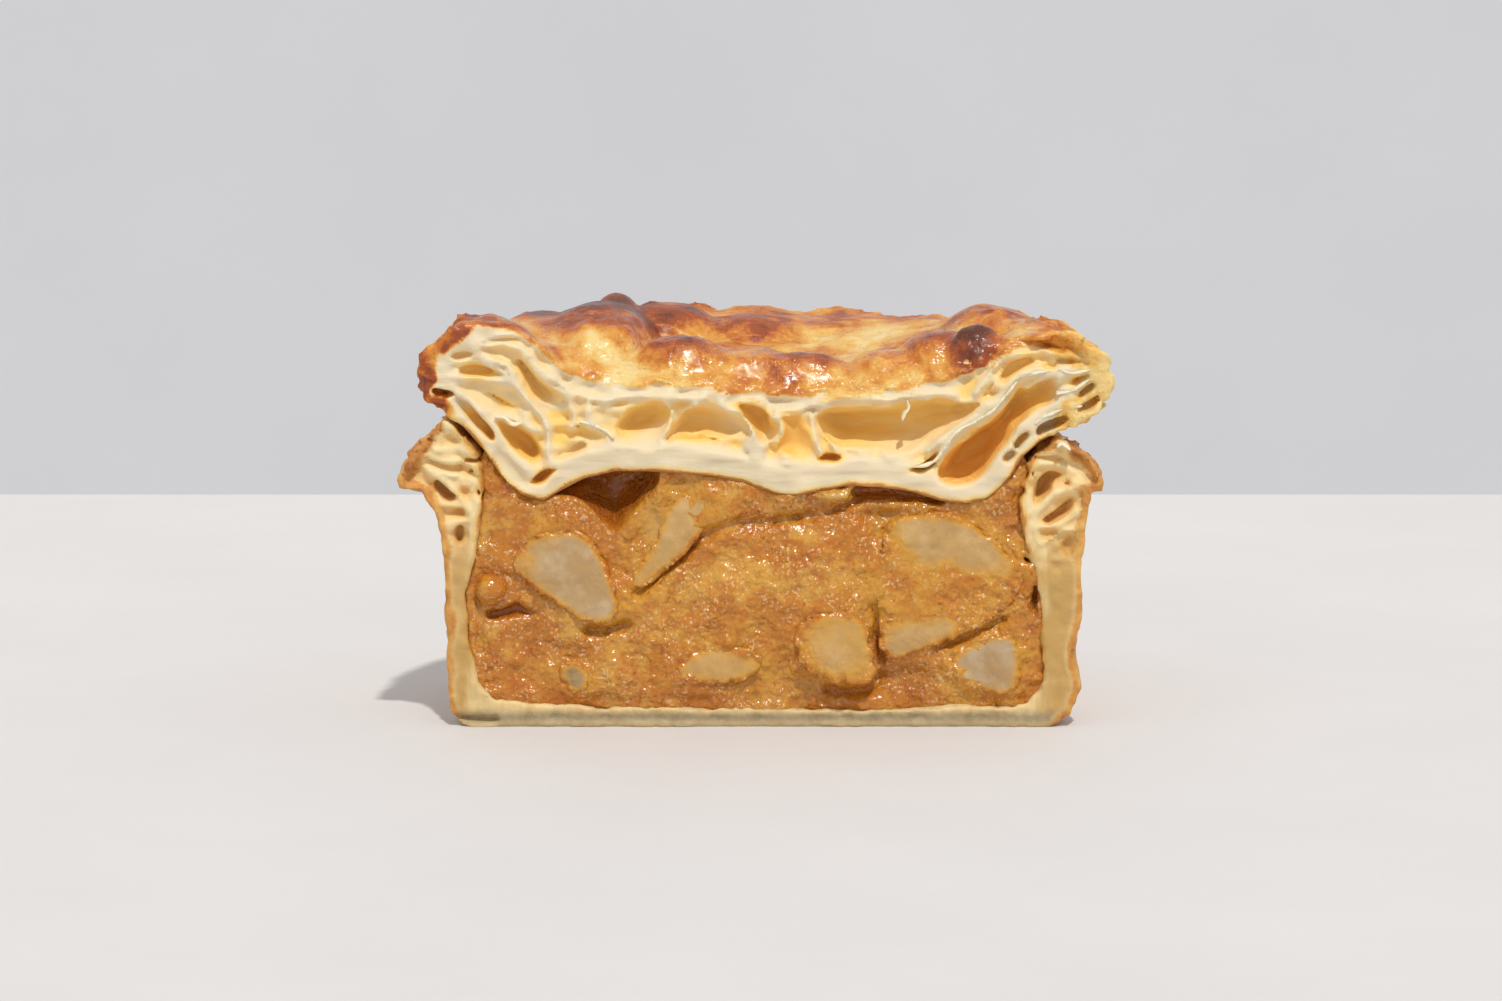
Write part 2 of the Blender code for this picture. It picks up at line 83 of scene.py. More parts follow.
class Block:
    def __init__(self, low, high, step, backStep=None, fineTo=14.0):
        self.step, self.low = step, low
        self.xs = np.arange(low[0], high[0] + step, step)
        self.zs = np.arange(low[2], high[2] + step, step)
        ys, gap = [low[1]], step
        while ys[-1] < high[1]:
            if backStep and ys[-1] > fineTo:
                gap = min(backStep, gap * stepGrowth)
            ys.append(ys[-1] + gap)
        self.ys = np.array(ys)
        self.x, self.y, self.z = (
            self.xs[:, None, None], self.ys[None, :, None], self.zs[None, None, :])

    def ripple(self, size, seed, amount=1.0):  # smooth random values about -1 to 1, size apart in mm
        sizes = size if isinstance(size, tuple) else (size, size, size)
        dice = np.random.default_rng(seed)
        weights = []
        for values, apart in zip((self.xs, self.ys, self.zs), sizes):
            cell = (values - values[0]) / apart
            base = np.floor(cell).astype(int)
            t = cell - base
            t = t * t * (3 - 2 * t)
            table = np.zeros((len(values), base[-1] + 2))
            table[np.arange(len(values)), base] = 1 - t
            table[np.arange(len(values)), base + 1] += t
            weights.append(table)
        knots = dice.uniform(-1, 1, tuple(w.shape[1] for w in weights))
        knots = np.tensordot(weights[0], knots, (1, 0))
        knots = np.einsum("jb,ibc->ijc", weights[1], knots, optimize=True)
        values = np.einsum("kc,ijc->ijk", weights[2], knots, optimize=True) * 1.5
        return values.astype(np.float32) * amount

    def waves(self, look, seed=0):  # a look's ripples, their seeds counted on from this one
        return {key: self.ripple(size, seed + own, *amount)
                for key, (size, own, *amount) in look["waves"].items()}

    def turned(self, rightOutline, leftOutline):  # distance to a half-section swept round the axis
        reach = float(np.hypot(np.abs(self.xs).max(), self.ys.max())) + 2
        radii = np.arange(0.0, reach, ringStep)
        sheets = []
        for stop in range(angleStops):
            share = (1 - math.cos(math.pi * stop / (angleStops - 1))) / 2
            outline = [
                (a[0] * (1 - share) + b[0] * share, a[1] * (1 - share) + b[1] * share)
                for a, b in zip(rightOutline, leftOutline)
            ]
            u, v = np.meshgrid(radii, self.zs, indexing="ij")
            sheets.append(outlineDistance(u, v, outline))
        sheets = np.array(sheets, np.float32)
        x, y = self.xs[:, None], np.abs(self.ys[None, :])
        turn = np.arctan2(y, x) / math.pi * (angleStops - 1)
        a0 = np.clip(np.floor(turn).astype(int), 0, angleStops - 2)
        ring = np.hypot(x, y) / ringStep
        r0 = np.clip(np.floor(ring).astype(int), 0, len(radii) - 2)
        ta, tr = (turn - a0)[..., None], (ring - r0)[..., None]
        near = sheets[a0, r0] * (1 - tr) + sheets[a0, r0 + 1] * tr
        far = sheets[a0 + 1, r0] * (1 - tr) + sheets[a0 + 1, r0 + 1] * tr
        return (near * (1 - ta) + far * ta).astype(np.float32)

    # a hollow of this outline at the cut, and how far each point lies to the side where it slopes out
    def bowl(self, outline, depth, slope=(0.0, 0.0)):
        u, v = np.meshgrid(self.xs, self.zs, indexing="ij")
        flat = outlineDistance(u, v, rounded(outline))
        share = np.clip(-flat / -flat.min(), 0, 1)
        cu, cv = (sum(p[i] for p in outline) / len(outline) for i in (0, 1))
        half = max(max(abs(p[0] - cu), abs(p[1] - cv)) for p in outline)
        side = ((u - cu) * slope[0] + (v - cv) * slope[1] * 1.6) / half
        reach = depth * 1.1 * (1 - (1 - share) ** 2) ** 0.8 * (1 - 0.65 * ease(side, -0.2, 1.0))
        slopeX, slopeZ = np.gradient(reach, self.step)
        steep = np.sqrt(1 + slopeX ** 2 + slopeZ ** 2)[:, None, :]
        return np.maximum(flat[:, None, :], (self.y - reach[:, None, :]) / steep), side[:, None, :]

    def skin(self, name, values, paints):  # a mesh over the places where the values pass through 0
        inside = values < 0
        filled = np.zeros(tuple(n - 1 for n in inside.shape), np.uint8)
        corners = [(i, j, k) for i in (0, 1) for j in (0, 1) for k in (0, 1)]
        wide, deep, high = filled.shape
        for i, j, k in corners:
            filled += inside[i:wide + i, j:deep + j, k:high + k]
        cells = np.argwhere((filled > 0) & (filled < 8))
        at = [tuple((cells + corner).T) for corner in corners]
        held = np.stack([values[index] for index in at], 1)
        spot, count = np.zeros((len(cells), 3)), np.zeros(len(cells))
        for a in range(8):
            for b in range(a + 1, 8):
                if sum(p != q for p, q in zip(corners[a], corners[b])) != 1:
                    continue
                crossed = (held[:, a] < 0) != (held[:, b] < 0)
                t = held[crossed, a] / (held[crossed, a] - held[crossed, b])
                first, second = np.array(corners[a]), np.array(corners[b])
                spot[crossed] += first + t[:, None] * (second - first)
                count[crossed] += 1
        place = cells + spot / count[:, None]
        order = np.full(filled.shape, -1, np.int64)
        order[tuple(cells.T)] = np.arange(len(cells))
        quads = []
        for a in range(3):
            b, c = (a + 1) % 3, (a + 2) % 3
            ahead = np.roll(inside, -1, a)
            change = inside != ahead
            for axis in (a, b, c):
                edge = [slice(None)] * 3
                edge[axis] = slice(-1, None)
                change[tuple(edge)] = False
                if axis != a:
                    edge[axis] = slice(0, 1)
                    change[tuple(edge)] = False
            edges = np.argwhere(change)
            ring = []
            for db, dc in ((-1, -1), (0, -1), (0, 0), (-1, 0)):
                cell = edges.copy()
                cell[:, b] += db
                cell[:, c] += dc
                ring.append(order[tuple(cell.T)])
            ring = np.stack(ring, 1)
            leaving = inside[tuple(edges.T)]
            quads.append(np.where(leaving[:, None], ring, ring[:, ::-1]))
        quads = np.concatenate(quads)
        points = np.stack([
            self.low[0] + place[:, 0] * self.step + pieAxis[0],
            np.interp(place[:, 1], np.arange(len(self.ys)), self.ys) + pieAxis[1],
            self.low[2] + place[:, 2] * self.step,
        ], 1) * mm
        painted = {
            key: np.mean([np.broadcast_to(paint, values.shape)[index] for index in at], 0)
            for key, paint in paints.items()
        }
        return newPiece(name, points, quads, painted)


def placed(name, data):
    piece = bpy.data.objects.new(name, data)
    bpy.context.scene.collection.objects.link(piece)
    return piece


def newPiece(name, points, quads, painted):
    mesh = bpy.data.meshes.new(name)
    mesh.vertices.add(len(points))
    mesh.vertices.foreach_set("co", np.asarray(points, np.float32).ravel())
    mesh.loops.add(quads.size)
    mesh.loops.foreach_set("vertex_index", quads.astype(np.int32).ravel())
    mesh.polygons.add(len(quads))
    mesh.polygons.foreach_set("loop_start", np.arange(0, quads.size, quads.shape[1], dtype=np.int32))
    for key, values in painted.items():
        layer = mesh.attributes.new(key, "FLOAT", "POINT")
        layer.data.foreach_set("value", np.asarray(values, np.float32))
    mesh.update(calc_edges=True)
    mesh.validate()
    mesh.shade_smooth()
    print("made", name, len(mesh.polygons) * (quads.shape[1] - 2), "triangles")
    return placed(name, mesh)


def settle(piece, material, slotName, *nodes):
    piece.data.materials.append(material)
    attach(piece, "root")
    if nodes:
        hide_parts(*nodes)


# materials

class Wire:  # a socket that can be used in sums
    def __init__(self, sheet, socket):
        self.sheet, self.socket = sheet, socket

    def __add__(self, other):
        return self.sheet.worked("ADD", self, other)

    def __radd__(self, other):
        return self.sheet.worked("ADD", other, self)

    def __sub__(self, other):
        return self.sheet.worked("SUBTRACT", self, other)

    def __rsub__(self, other):
        return self.sheet.worked("SUBTRACT", other, self)

    def __mul__(self, other):
        return self.sheet.worked("MULTIPLY", self, other)

    def __rmul__(self, other):
        return self.sheet.worked("MULTIPLY", other, self)


class Sheet:  # one material being wired up
    def __init__(self, name):
        self.material = bpy.data.materials.new(name)
        self.material.use_nodes = True
        self.tree = self.material.node_tree
        self.tree.nodes.clear()
        self.where = self.node("ShaderNodeNewGeometry", {}, {}, "Position")

    def node(self, kind, settings, sockets, output=0):
        made = self.tree.nodes.new(kind)
        for key, value in settings.items():
            setattr(made, key, value)
        for key, value in sockets.items():
            if isinstance(value, Wire):
                self.tree.links.new(value.socket, made.inputs[key])
            else:
                made.inputs[key].default_value = value
        return Wire(self, made.outputs[output]) if made.outputs else None

    def worked(self, kind, first, second):
        def wide(value):  # a colour or a vector
            return isinstance(value, tuple) or (
                isinstance(value, Wire) and value.socket.type in ("VECTOR", "RGBA"))
        if not wide(first) and not wide(second):
            return self.node("ShaderNodeMath", {"operation": kind}, {0: first, 1: second})
        if kind == "MULTIPLY" and not wide(second):
            return self.node("ShaderNodeVectorMath", {"operation": "SCALE"}, {0: first, "Scale": second})
        return self.node("ShaderNodeVectorMath", {"operation": kind}, {0: first, 1: second})

    def mix(self, first, second, factor):
        first, second = (value if isinstance(value, Wire) else (*value, 1.0) for value in (first, second))
        return self.node("ShaderNodeMix", {"data_type": "RGBA"}, {0: factor, 6: first, 7: second}, 2)

    def ramp(self, value, low, high, start=0.0, end=1.0):
        return self.node(
            "ShaderNodeMapRange", {"interpolation_type": "SMOOTHSTEP"},
            {0: value, 1: low, 2: high, 3: start, 4: end})

    def tones(self, value, stops):  # one colour after another along a value
        shade = stops[0][1]
        for (before, _), (after, colour) in zip(stops, stops[1:]):
            shade = self.mix(shade, colour, self.ramp(value, before, after))
        return shade

    def grain(self, size, detail=2.0, roughness=0.5, stretch=None):  # size in mm
        place = self.where * (1 / (size * mm))
        if stretch:
            place = place * stretch
        return self.node("ShaderNodeTexNoise", {}, {
            "Vector": place, "Scale": 1.0, "Detail": detail, "Roughness": roughness})

    def painted(self, name):  # a value kept at each point of the mesh
        return self.node("ShaderNodeAttribute", {"attribute_name": name}, {}, "Fac")

    def bump(self, height, distance, strength=1.0, under=None):  # distance in mm
        sockets = {"Height": height, "Distance": distance * mm, "Strength": strength}
        if under:
            sockets["Normal"] = under
        return self.node("ShaderNodeBump", {}, sockets)

    def surface(self, **sockets):
        shader = self.node("ShaderNodeBsdfPrincipled", {}, {
            key.replace("_", " "): value for key, value in sockets.items()})
        self.node("ShaderNodeOutputMaterial", {}, {"Surface": shader})
        return self.material


# the profiles of the pie in half-section, in mm, as (radius, height)

caseProfile = {
    "right": [
        (0, 0), (23, 0), (46.2, 0), (49.4, 2.0), (50.8, 6), (49.9, 11), (51.0, 18.5), (50.6, 26),
        (51.1, 33), (52.0, 36.6), (54.0, 37.8), (54.2, 39.4), (52.2, 42), (49.6, 44.2), (47.0, 45.0),
        (43.9, 43.6), (42.3, 41.2), (40.9, 35.5), (41.9, 29), (44.3, 23.5), (44.6, 14), (45.3, 7),
        (42.6, 3.3), (24, 2.7), (0, 2.6)],
    "left": [
        (0, 0), (23, 0), (45.2, 0), (47.3, 1.4), (47.9, 6), (48.2, 12), (48.5, 19), (48.9, 27),
        (49.9, 33.4), (52.0, 36.6), (55.2, 37.5), (55.6, 39.6), (53.6, 43.4), (50.8, 46.2), (48.3, 48.3),
        (45.4, 46.2), (42.6, 42.6), (42.1, 37), (43.1, 30), (45.0, 22.5), (44.6, 14), (43.4, 7),
        (41.2, 4.2), (24, 3.0), (0, 2.6)],
    "insideFrom": 16,
}
lidProfile = {
    "rightEdge": [(51.6, 60.4), (54.4, 57.6), (55.6, 54.2), (54.6, 50.8), (51.4, 48.3)],
    "leftEdge": [(48.6, 61.6), (51.2, 58.8), (52.3, 55.4), (51.5, 52.4), (49.6, 50.7)],
    "rightUnder": [
        (47.8, 46.6), (44.0, 45.0), (41.4, 42.6), (39.9, 40.2), (38.1, 37.8), (35.8, 35.9),
        (32.7, 35.2), (28.7, 35.6), (24.1, 37.0), (19.4, 37.8), (14.7, 38.0), (10, 37.2), (6.1, 36.4),
        (3, 36.8), (0, 37.8)],
    "leftUnder": [
        (48.0, 49.4), (44.6, 46.4), (42.0, 43.3), (40.2, 40.4), (38.4, 38.2), (36.4, 36.6),
        (33, 35.6), (30.3, 37.2), (26.7, 39.1), (22, 40.2), (16.6, 40.2), (12, 40.0), (7.6, 39.6),
        (3.6, 38.8), (0, 37.8)],
    "meeting": 3,
}


def besideAxis(outline):  # carries an outline that ends on the axis a little past it, so that it closes there
    return [(-3.0, outline[0][1])] + outline + [(-3.0, outline[-1][1])]


# the top crust

crustLook = {
    "middle": 55.4, "rim": 60.6, "riseFrom": 14.0, "riseTo": 42.0, "frontDrop": 6.5,
    "cutLine": [
        (-47.5, 62.8), (-43, 64.2), (-38.4, 63.6), (-34.5, 61.2), (-31.4, 57.4), (-27.5, 54.4),
        (-21, 53.4), (-15, 53.8), (-8.8, 53.6), (-4, 52.4), (0, 51.6), (6.9, 50.9), (14.7, 52.6),
        (23.3, 52.9), (30.3, 54.6), (35.8, 58.0), (38.4, 60.6), (43, 62.0), (48, 62.2), (51, 61.0)],
    "blisters": [  # x, y, half width, half depth, height of its top
        (-24.5, 23, 9.5, 17.5, 64.3), (-22.6, 35, 4.5, 6.0, 65.0), (-34.0, 26, 8.0, 14.0, 62.6),
        (-14.5, 34, 8.5, 10.0, 63.6), (-1.0, 34, 10.0, 10.0, 61.4), (9.5, 37, 8.0, 9.0, 60.3),
        (19.5, 37, 8.5, 9.0, 59.9), (30.0, 34, 8.0, 9.0, 60.6), (37.5, 20, 8.5, 12.0, 63.9),
        (44.5, 12, 7.5, 11.0, 62.7), (-42.5, 8, 9.0, 10.0, 63.9), (-44.0, 20, 7.0, 9.0, 62.2),
        (-11.0, 11.5, 9.5, 8.0, 60.2), (-1.5, 10.5, 9.0, 7.0, 58.5), (6.5, 9.0, 9.0, 6.5, 57.9),
        (29.0, 10.5, 7.5, 7.0, 61.1), (21.5, 9.5, 7.5, 6.0, 58.2), (34.0, 5.2, 4.0, 4.6, 62.7),
        (0.0, 48, 9.0, 7.0, 61.6), (-12.0, 49, 7.0, 6.0, 62.4),
        (15.0, 48, 8.0, 6.0, 61.4), (5.0, 23, 7.0, 5.0, 57.6), (-6.0, 23, 6.0, 4.5, 58.4)],
    "burnt": [  # x, y, reach, how dark
        (34.0, 4.4, 4.2, 1.15), (36.6, 6.5, 3.0, 0.5), (-25, 26, 8.5, 0.95), (-33, 22, 7.0, 0.7),
        (12, 40, 6.0, 0.35), (24, 40, 5.0, 0.5), (3.4, 3.0, 3.2, 0.35), (-9, 13, 5.0, 0.2), (30, 8, 4.0, 0.3),
        (7, 9, 6.0, 0.22), (22, 8, 5.0, 0.24), (40, 14, 6.0, 0.2), (-2, 30, 7.0, 0.2),
        (-12, 42, 4.0, 0.3), (38, 26, 5.0, 0.25), (3, 40, 5.0, 0.3), (24, 38, 4.0, 0.35),
        (-45, 10, 4.0, 0.3), (47, 14, 4.0, 0.2), (10, 5, 2.6, 0.25), (-52, 6, 3.0, 0.4), (-49, 3, 6.0, 0.3),
        (-5, 2, 4.5, 0.22)],
    "light": [  # x, y, reach, how much paler
        (-24, 8.0, 4.4, 0.34), (-19, 11, 3.0, 0.14), (17, 25, 5.5, 0.3), (9, 19, 4.0, 0.12),
        (40, 6, 5.0, 0.14), (-38, 20, 5.0, 0.12), (51, 3, 6.0, 0.18)],
    "domeFoot": 1.0, "domeShape": 0.6, "domeBlend": 0.7,  # how each blister stands out of the ground
    "smallBlisters": {
        "count": 90, "seed": 41, "within": 50, "spread": (0.9, 2.6), "height": (-0.3, 0.5),
        "flat": (1.0, 2.2)},
}


def crustGround(x, y):  # the dipped surface that the blisters stand on
    look = crustLook
    across = ease(np.hypot(x, y), look["riseFrom"], look["riseTo"])
    return look["middle"] + (look["rim"] - look["middle"]) * across


def crustTop(x, y):
    look, ground = crustLook, crustGround(x, y)
    height = ground
    for bx, by, halfX, halfY, peak in look["blisters"]:
        away = ((x - bx) / halfX) ** 2 + ((y - by) / halfY) ** 2
        foot = look["domeFoot"]
        dome = ground - foot + (peak - ground + foot) * np.clip(1 - away, 0, 1) ** look["domeShape"]
        height = softMax(height, dome, look["domeBlend"])
    atCut = np.interp(x, *zip(*look["cutLine"]))
    return atCut + (height - atCut) * ease(y, -0.6, look["frontDrop"])


def crustDetail(x, y):  # small blisters and puckers, in mm
    small = crustLook["smallBlisters"]
    dice = np.random.default_rng(small["seed"])
    rise = np.zeros(np.broadcast(x, y).shape)
    for _ in range(small["count"]):
        angle, radius = dice.uniform(0, math.pi), small["within"] * math.sqrt(dice.uniform(0.02, 0.9))
        bx, by = radius * math.cos(angle), radius * math.sin(angle)
        spread, height = dice.uniform(*small["spread"]), dice.uniform(*small["height"])
        turn, flat = dice.uniform(0, math.pi), dice.uniform(*small["flat"])
        u = (x - bx) * math.cos(turn) + (y - by) * math.sin(turn)
        v = (y - by) * math.cos(turn) - (x - bx) * math.sin(turn)
        rise = rise + height * np.exp(-((u / (spread * flat)) ** 2) - (v / spread) ** 2)
    return rise


def crustPatches(block, patches):  # soft round patches seen from above, each as strong as its last number
    total = np.zeros((len(block.xs), len(block.ys), 1))
    for x, y, reach, amount in patches:
        away = (block.x - x) ** 2 + (block.y - y) ** 2
        total = np.maximum(total, amount * np.exp(-away / reach ** 2))
    return total


# the lid: airy puff pastry with a browned, glazed top

lidLook = {
    # low corner, high corner, step, step at the back
    "block": ((-55.4, -0.9, 34.2), (58.4, 57.6, 67.4), 0.42, 1.45),
    "aboveTop": 80.0,
    "rimBand": (43.0, 49.0), "farBand": (12.0, 26.0), "shoulderBand": (29.0, 42.0), "shoulderMiddle": -1.0,
    "waves": {  # size of the unevenness in mm, seed, how strong
        "pucker": (2.3, 3), "folds": ((1.7, 12.0, 12.0), 19), "dents": (5.0, 2, 0.18),
        "fineDents": (1.1, 4, 0.08), "leaves": ((4.0, 4.0, 1.0), 5, 0.4),
        "fineLeaves": ((1.5, 2.6, 1.0), 6, 0.3), "crumbs": ((1.2, 2.0, 1.2), 14),
        "strata": ((5.0, 9.0, 0.9), 7, 0.16), "tear": ((3.0, 9.0, 3.0), 8, 0.3),
        "lipTear": ((2.6, 9.0, 2.6), 15, 0.25), "sunk": ((2.0, 9.0, 1.2), 17, 0.5),
        "bend": (3.4, 9, 0.35), "fineBend": (1.5, 10, 0.12), "skin": ((2.6, 6.0, 2.6), 16, 0.6),
        "stain": ((2.4, 9.0, 2.4), 18, 0.2), "browning": (5.0, 11, 0.14), "fineBrowning": (2.0, 12, 0.08)},
    "foldsAt": (-25, 13, 9, 6),  # x, y, spread in x, spread in y
    "brown": {  # each share of the browning, and over how many mm it comes in
        "least": 0.27, "swell": 0.31, "swellBand": (0.0, 3.6), "detail": 0.12, "burnt": 0.6,
        "far": 0.10, "farBand": (16.0, 30.0), "nearCut": 0.07, "cutBand": (0.3, 3.4), "pucker": 0.05},
    "sideBlend": 1.6, "faceBlend": 0.3, "lipBlend": 1.3, "lipBand": (-3.4, -0.6),
    # air cells: outline at the cut, depth, how golden their walls go deeper in (partly the crumb's own
    # colour, partly painted shade), the side where the wall slopes out towards the light and is kept pale as
    # painted light
    "cells": [
        ([(8.6, 48.2), (9.6, 49.6), (11.4, 50.3), (15.1, 50.2), (17.8, 50.6), (20.4, 50.5), (22.4, 50.5),
          (25.4, 51.4), (28.5, 51.7), (31.2, 50.8), (34.6, 51.2), (36.2, 51.6), (34.4, 49.6), (31.4, 47.6),
          (28.6, 45.2), (26.6, 43.2), (24.6, 43.0), (20.9, 42.7), (16.6, 43.2), (12.4, 43.6), (10.2, 45.8)],
         8.4, 0.58, (0.45, -0.9)),
        ([(27.8, 39.6), (29.0, 41.8), (31.1, 44.7), (33.3, 46.0), (35.1, 47.3), (36.5, 48.0), (37.6, 49.4),
          (38.7, 50.9), (39.8, 52.7), (41.1, 53.9), (41.8, 53.0), (43.6, 54.3), (46.3, 55.2), (46.8, 53.6),
          (46.6, 51.8), (45.4, 50.5), (43.3, 49.4), (41.6, 48.1), (40.2, 46.7), (38.9, 44.7), (37.8, 43.2),
          (36.8, 41.4), (35.3, 39.4), (33.5, 38.3), (31.3, 38.0), (29.3, 38.4)],
         9.0, 0.86, (0.2, 0.3)),
        ([(-22.6, 47.0), (-21.8, 48.8), (-20.1, 50.4), (-17.1, 51.3), (-14.8, 51.4), (-12.9, 49.8),
          (-13.4, 47.6), (-14.4, 45.6), (-15.8, 43.9), (-18.1, 43.5), (-19.9, 43.9), (-21.8, 46.0)],
         5.6, 0.56, (0.55, -0.85)),
        ([(-14.3, 44.8), (-13.6, 46.3), (-12.6, 48.3), (-11.8, 49.8), (-10.4, 50.5), (-8.0, 50.8),
          (-5.6, 50.6), (-3.6, 49.8), (-1.6, 48.4), (-0.7, 46.8), (-0.4, 45.6), (-2.0, 44.7), (-4.6, 44.7),
          (-7.1, 45.1), (-10.5, 45.0), (-12.7, 44.9)], 6.0, 0.50, (0.6, 0.25)),
        ([(-13.8, 45.0), (-13.4, 46.0), (-12.9, 47.4), (-11.4, 46.9), (-8.6, 46.1), (-6.0, 45.4),
          (-3.4, 44.7), (-5.0, 44.6), (-7.6, 44.9), (-10.6, 44.9)], 4.0, 0.80, (-0.5, -0.3)),
        ([(-4.4, 50.9), (-2.0, 51.0), (0.6, 50.5), (2.4, 49.4), (2.7, 48.0), (3.9, 46.9), (3.6, 46.0),
          (2.8, 45.0), (1.9, 44.2), (0.5, 44.6), (-0.1, 45.6), (-0.6, 47.1), (-2.2, 49.2)],
         5.0, 0.68, (0.3, -0.5)),
        ([(3.2, 49.0), (5.2, 49.4), (7.6, 49.2), (8.6, 46.2), (9.3, 43.6), (8.8, 41.9), (6.6, 41.9),
          (3.9, 42.9), (2.6, 44.0), (3.7, 45.4), (4.2, 46.8)], 2.6, 0.85, (0.3, -0.2)),
        ([(9.2, 41.9), (10.4, 42.9), (12.2, 43.2), (13.4, 42.6), (13.2, 41.7), (11.3, 41.5)],
         3.6, 0.88),
        ([(22.6, 40.2), (25.1, 41.0), (27.0, 42.6), (28.6, 43.6), (28.2, 41.5), (27.3, 40.5), (25.8, 39.8)],
         3.4, 0.62, (0.3, -0.3)),
        ([(37.2, 54.6), (38.2, 56.3), (39.4, 57.4), (41.0, 58.0), (43.6, 58.0), (43.4, 56.9), (41.2, 56.0),
          (39.6, 54.9), (38.2, 53.3)], 3.4, 0.55, (0.2, -0.3)),
        ([(34.4, 51.4), (35.4, 53.0), (36.5, 54.4), (37.2, 54.0), (36.3, 52.0), (35.3, 50.9)],
         2.2, 0.5),
        ([(48.1, 54.3), (51.2, 55.6), (51.7, 54.9), (49.4, 53.3)], 3.0, 0.8),
        ([(49.8, 52.8), (52.1, 54.3), (52.9, 53.6), (50.6, 51.3), (49.6, 51.6)], 3.4, 0.8),
        ([(49.2, 50.0), (52.1, 51.9), (53.7, 52.5), (52.4, 49.9), (50.3, 49.2)], 3.0, 0.8),
        ([(43.4, 47.4), (45.8, 48.5), (48.4, 49.2), (48.5, 48.0), (46.5, 46.8), (44.5, 46.0), (43.2, 45.5)],
         4.0, 0.8, (0.3, 0.3)),
        ([(37.9, 42.0), (38.9, 43.5), (40.7, 43.6), (40.0, 42.1), (38.9, 41.5)], 2.2, 0.45),
        ([(39.7, 43.9), (40.4, 45.3), (41.9, 46.7), (42.6, 46.0), (41.1, 44.4), (40.6, 43.4)],
         2.8, 0.65),
        ([(38.4, 59.2), (40.6, 59.9), (44.4, 59.8), (44.8, 58.9), (41.4, 58.5)], 1.8, 0.5),
        ([(44.0, 56.9), (45.6, 57.6), (47.0, 57.0), (46.4, 56.0), (44.4, 56.0)], 1.8, 0.6),
        ([(-37.8, 57.6), (-36.6, 58.2), (-35.2, 57.2), (-33.6, 55.0), (-31.6, 53.4), (-30.0, 52.0),
          (-28.9, 50.4), (-28.8, 48.6), (-29.2, 47.2), (-31.3, 46.9), (-32.9, 48.6), (-34.0, 50.4),
          (-35.6, 52.4), (-36.8, 55.0)], 4.6, 0.50, (0.1, -0.9)),
        ([(-40.6, 48.4), (-39.2, 48.7), (-38.5, 47.5), (-37.1, 48.3), (-36.2, 47.1), (-34.5, 46.4),
          (-33.2, 44.4), (-32.9, 42.3), (-34.4, 41.0), (-35.7, 41.7), (-37.7, 43.4), (-39.0, 45.1),
          (-40.3, 47.2)], 5.0, 0.72, (0.3, 0.5)),
        ([(-47.0, 53.9), (-43.0, 54.1), (-40.0, 53.8), (-37.6, 52.8), (-35.9, 50.6), (-35.0, 48.6),
          (-36.6, 47.9), (-40.1, 48.4), (-42.3, 49.8), (-45.0, 52.3)], 2.2, 0.26, (0.0, -0.8)),
        ([(-43.0, 52.9), (-41.3, 52.7), (-39.6, 51.9), (-37.5, 51.0), (-36.0, 50.0), (-36.0, 48.9),
          (-37.3, 48.9), (-38.7, 49.7), (-40.6, 50.9)], 3.2, 0.80, (0.7, -0.4)),
        ([(-46.0, 56.8), (-43.5, 57.0), (-41.3, 56.6), (-39.9, 55.8), (-40.9, 55.0), (-42.8, 54.9),
          (-44.6, 54.9), (-46.2, 55.4)], 3.0, 0.66, (-0.4, 0.0)),
        ([(-43.4, 59.3), (-40.6, 60.0), (-37.5, 59.6), (-35.6, 58.3), (-36.2, 57.1), (-38.4, 56.8),
          (-39.8, 57.2), (-41.4, 58.3)], 1.9, 0.34, (0.0, -0.5)),
        ([(-47.4, 58.4), (-45.4, 59.2), (-43.2, 58.8), (-44.4, 57.7), (-46.8, 57.4)], 1.8, 0.4),
        ([(-35.4, 38.7), (-32.9, 41.0), (-30.4, 40.7), (-31.6, 39.6), (-33.0, 38.2), (-34.4, 38.0)],
         3.6, 0.92),
        ([(-41.0, 43.4), (-40.2, 44.8), (-38.0, 42.6), (-35.4, 39.8), (-34.0, 38.2), (-35.4, 37.2),
          (-37.6, 37.6), (-39.6, 39.8), (-41.2, 41.8)], 1.0, 0.16, (0.0, -0.2)),
        ([(-31.6, 41.6), (-31.4, 43.4), (-29.5, 43.9), (-27.1, 45.2), (-25.7, 44.2), (-27.5, 42.9),
          (-29.8, 42.0)], 2.6, 0.42, (-0.6, 0.2)),
        ([(-28.4, 47.8), (-27.0, 47.6), (-25.4, 46.3), (-22.8, 45.6), (-24.8, 45.1), (-26.8, 45.8),
          (-28.2, 47.0)], 1.8, 0.6),
        ([(-46.6, 52.0), (-44.5, 51.0), (-42.3, 48.7), (-40.6, 46.9), (-40.1, 45.3), (-41.0, 44.6),
          (-42.8, 46.3), (-44.6, 48.5), (-46.3, 50.7)], 3.6, 0.82, (-0.3, 0.5)),
        ([(-50.4, 53.4), (-47.6, 53.0), (-46.2, 52.3), (-47.6, 51.6), (-50.2, 52.2)], 2.6, 0.8),
        ([(-28.4, 51.8), (-27.2, 52.2), (-26.5, 51.0), (-26.6, 49.2), (-27.4, 48.6), (-28.3, 49.6)],
         1.5, 0.3),
        ([(-25.8, 50.0), (-24.0, 50.4), (-22.4, 49.4), (-22.9, 48.0), (-25.0, 48.2)], 1.5, 0.3),
    ],
    "grooves": [  # thin parted leaves at the cut: points, half width, depth
        ([(-3.4, 51.8), (0.2, 51.6), (3.4, 51.0), (7.6, 50.4)], 0.6, 0.9),
        ([(36.6, 58.4), (38.6, 60.0), (41, 60.4), (44.6, 60.0), (47.2, 59.2)], 0.5, 1.6),
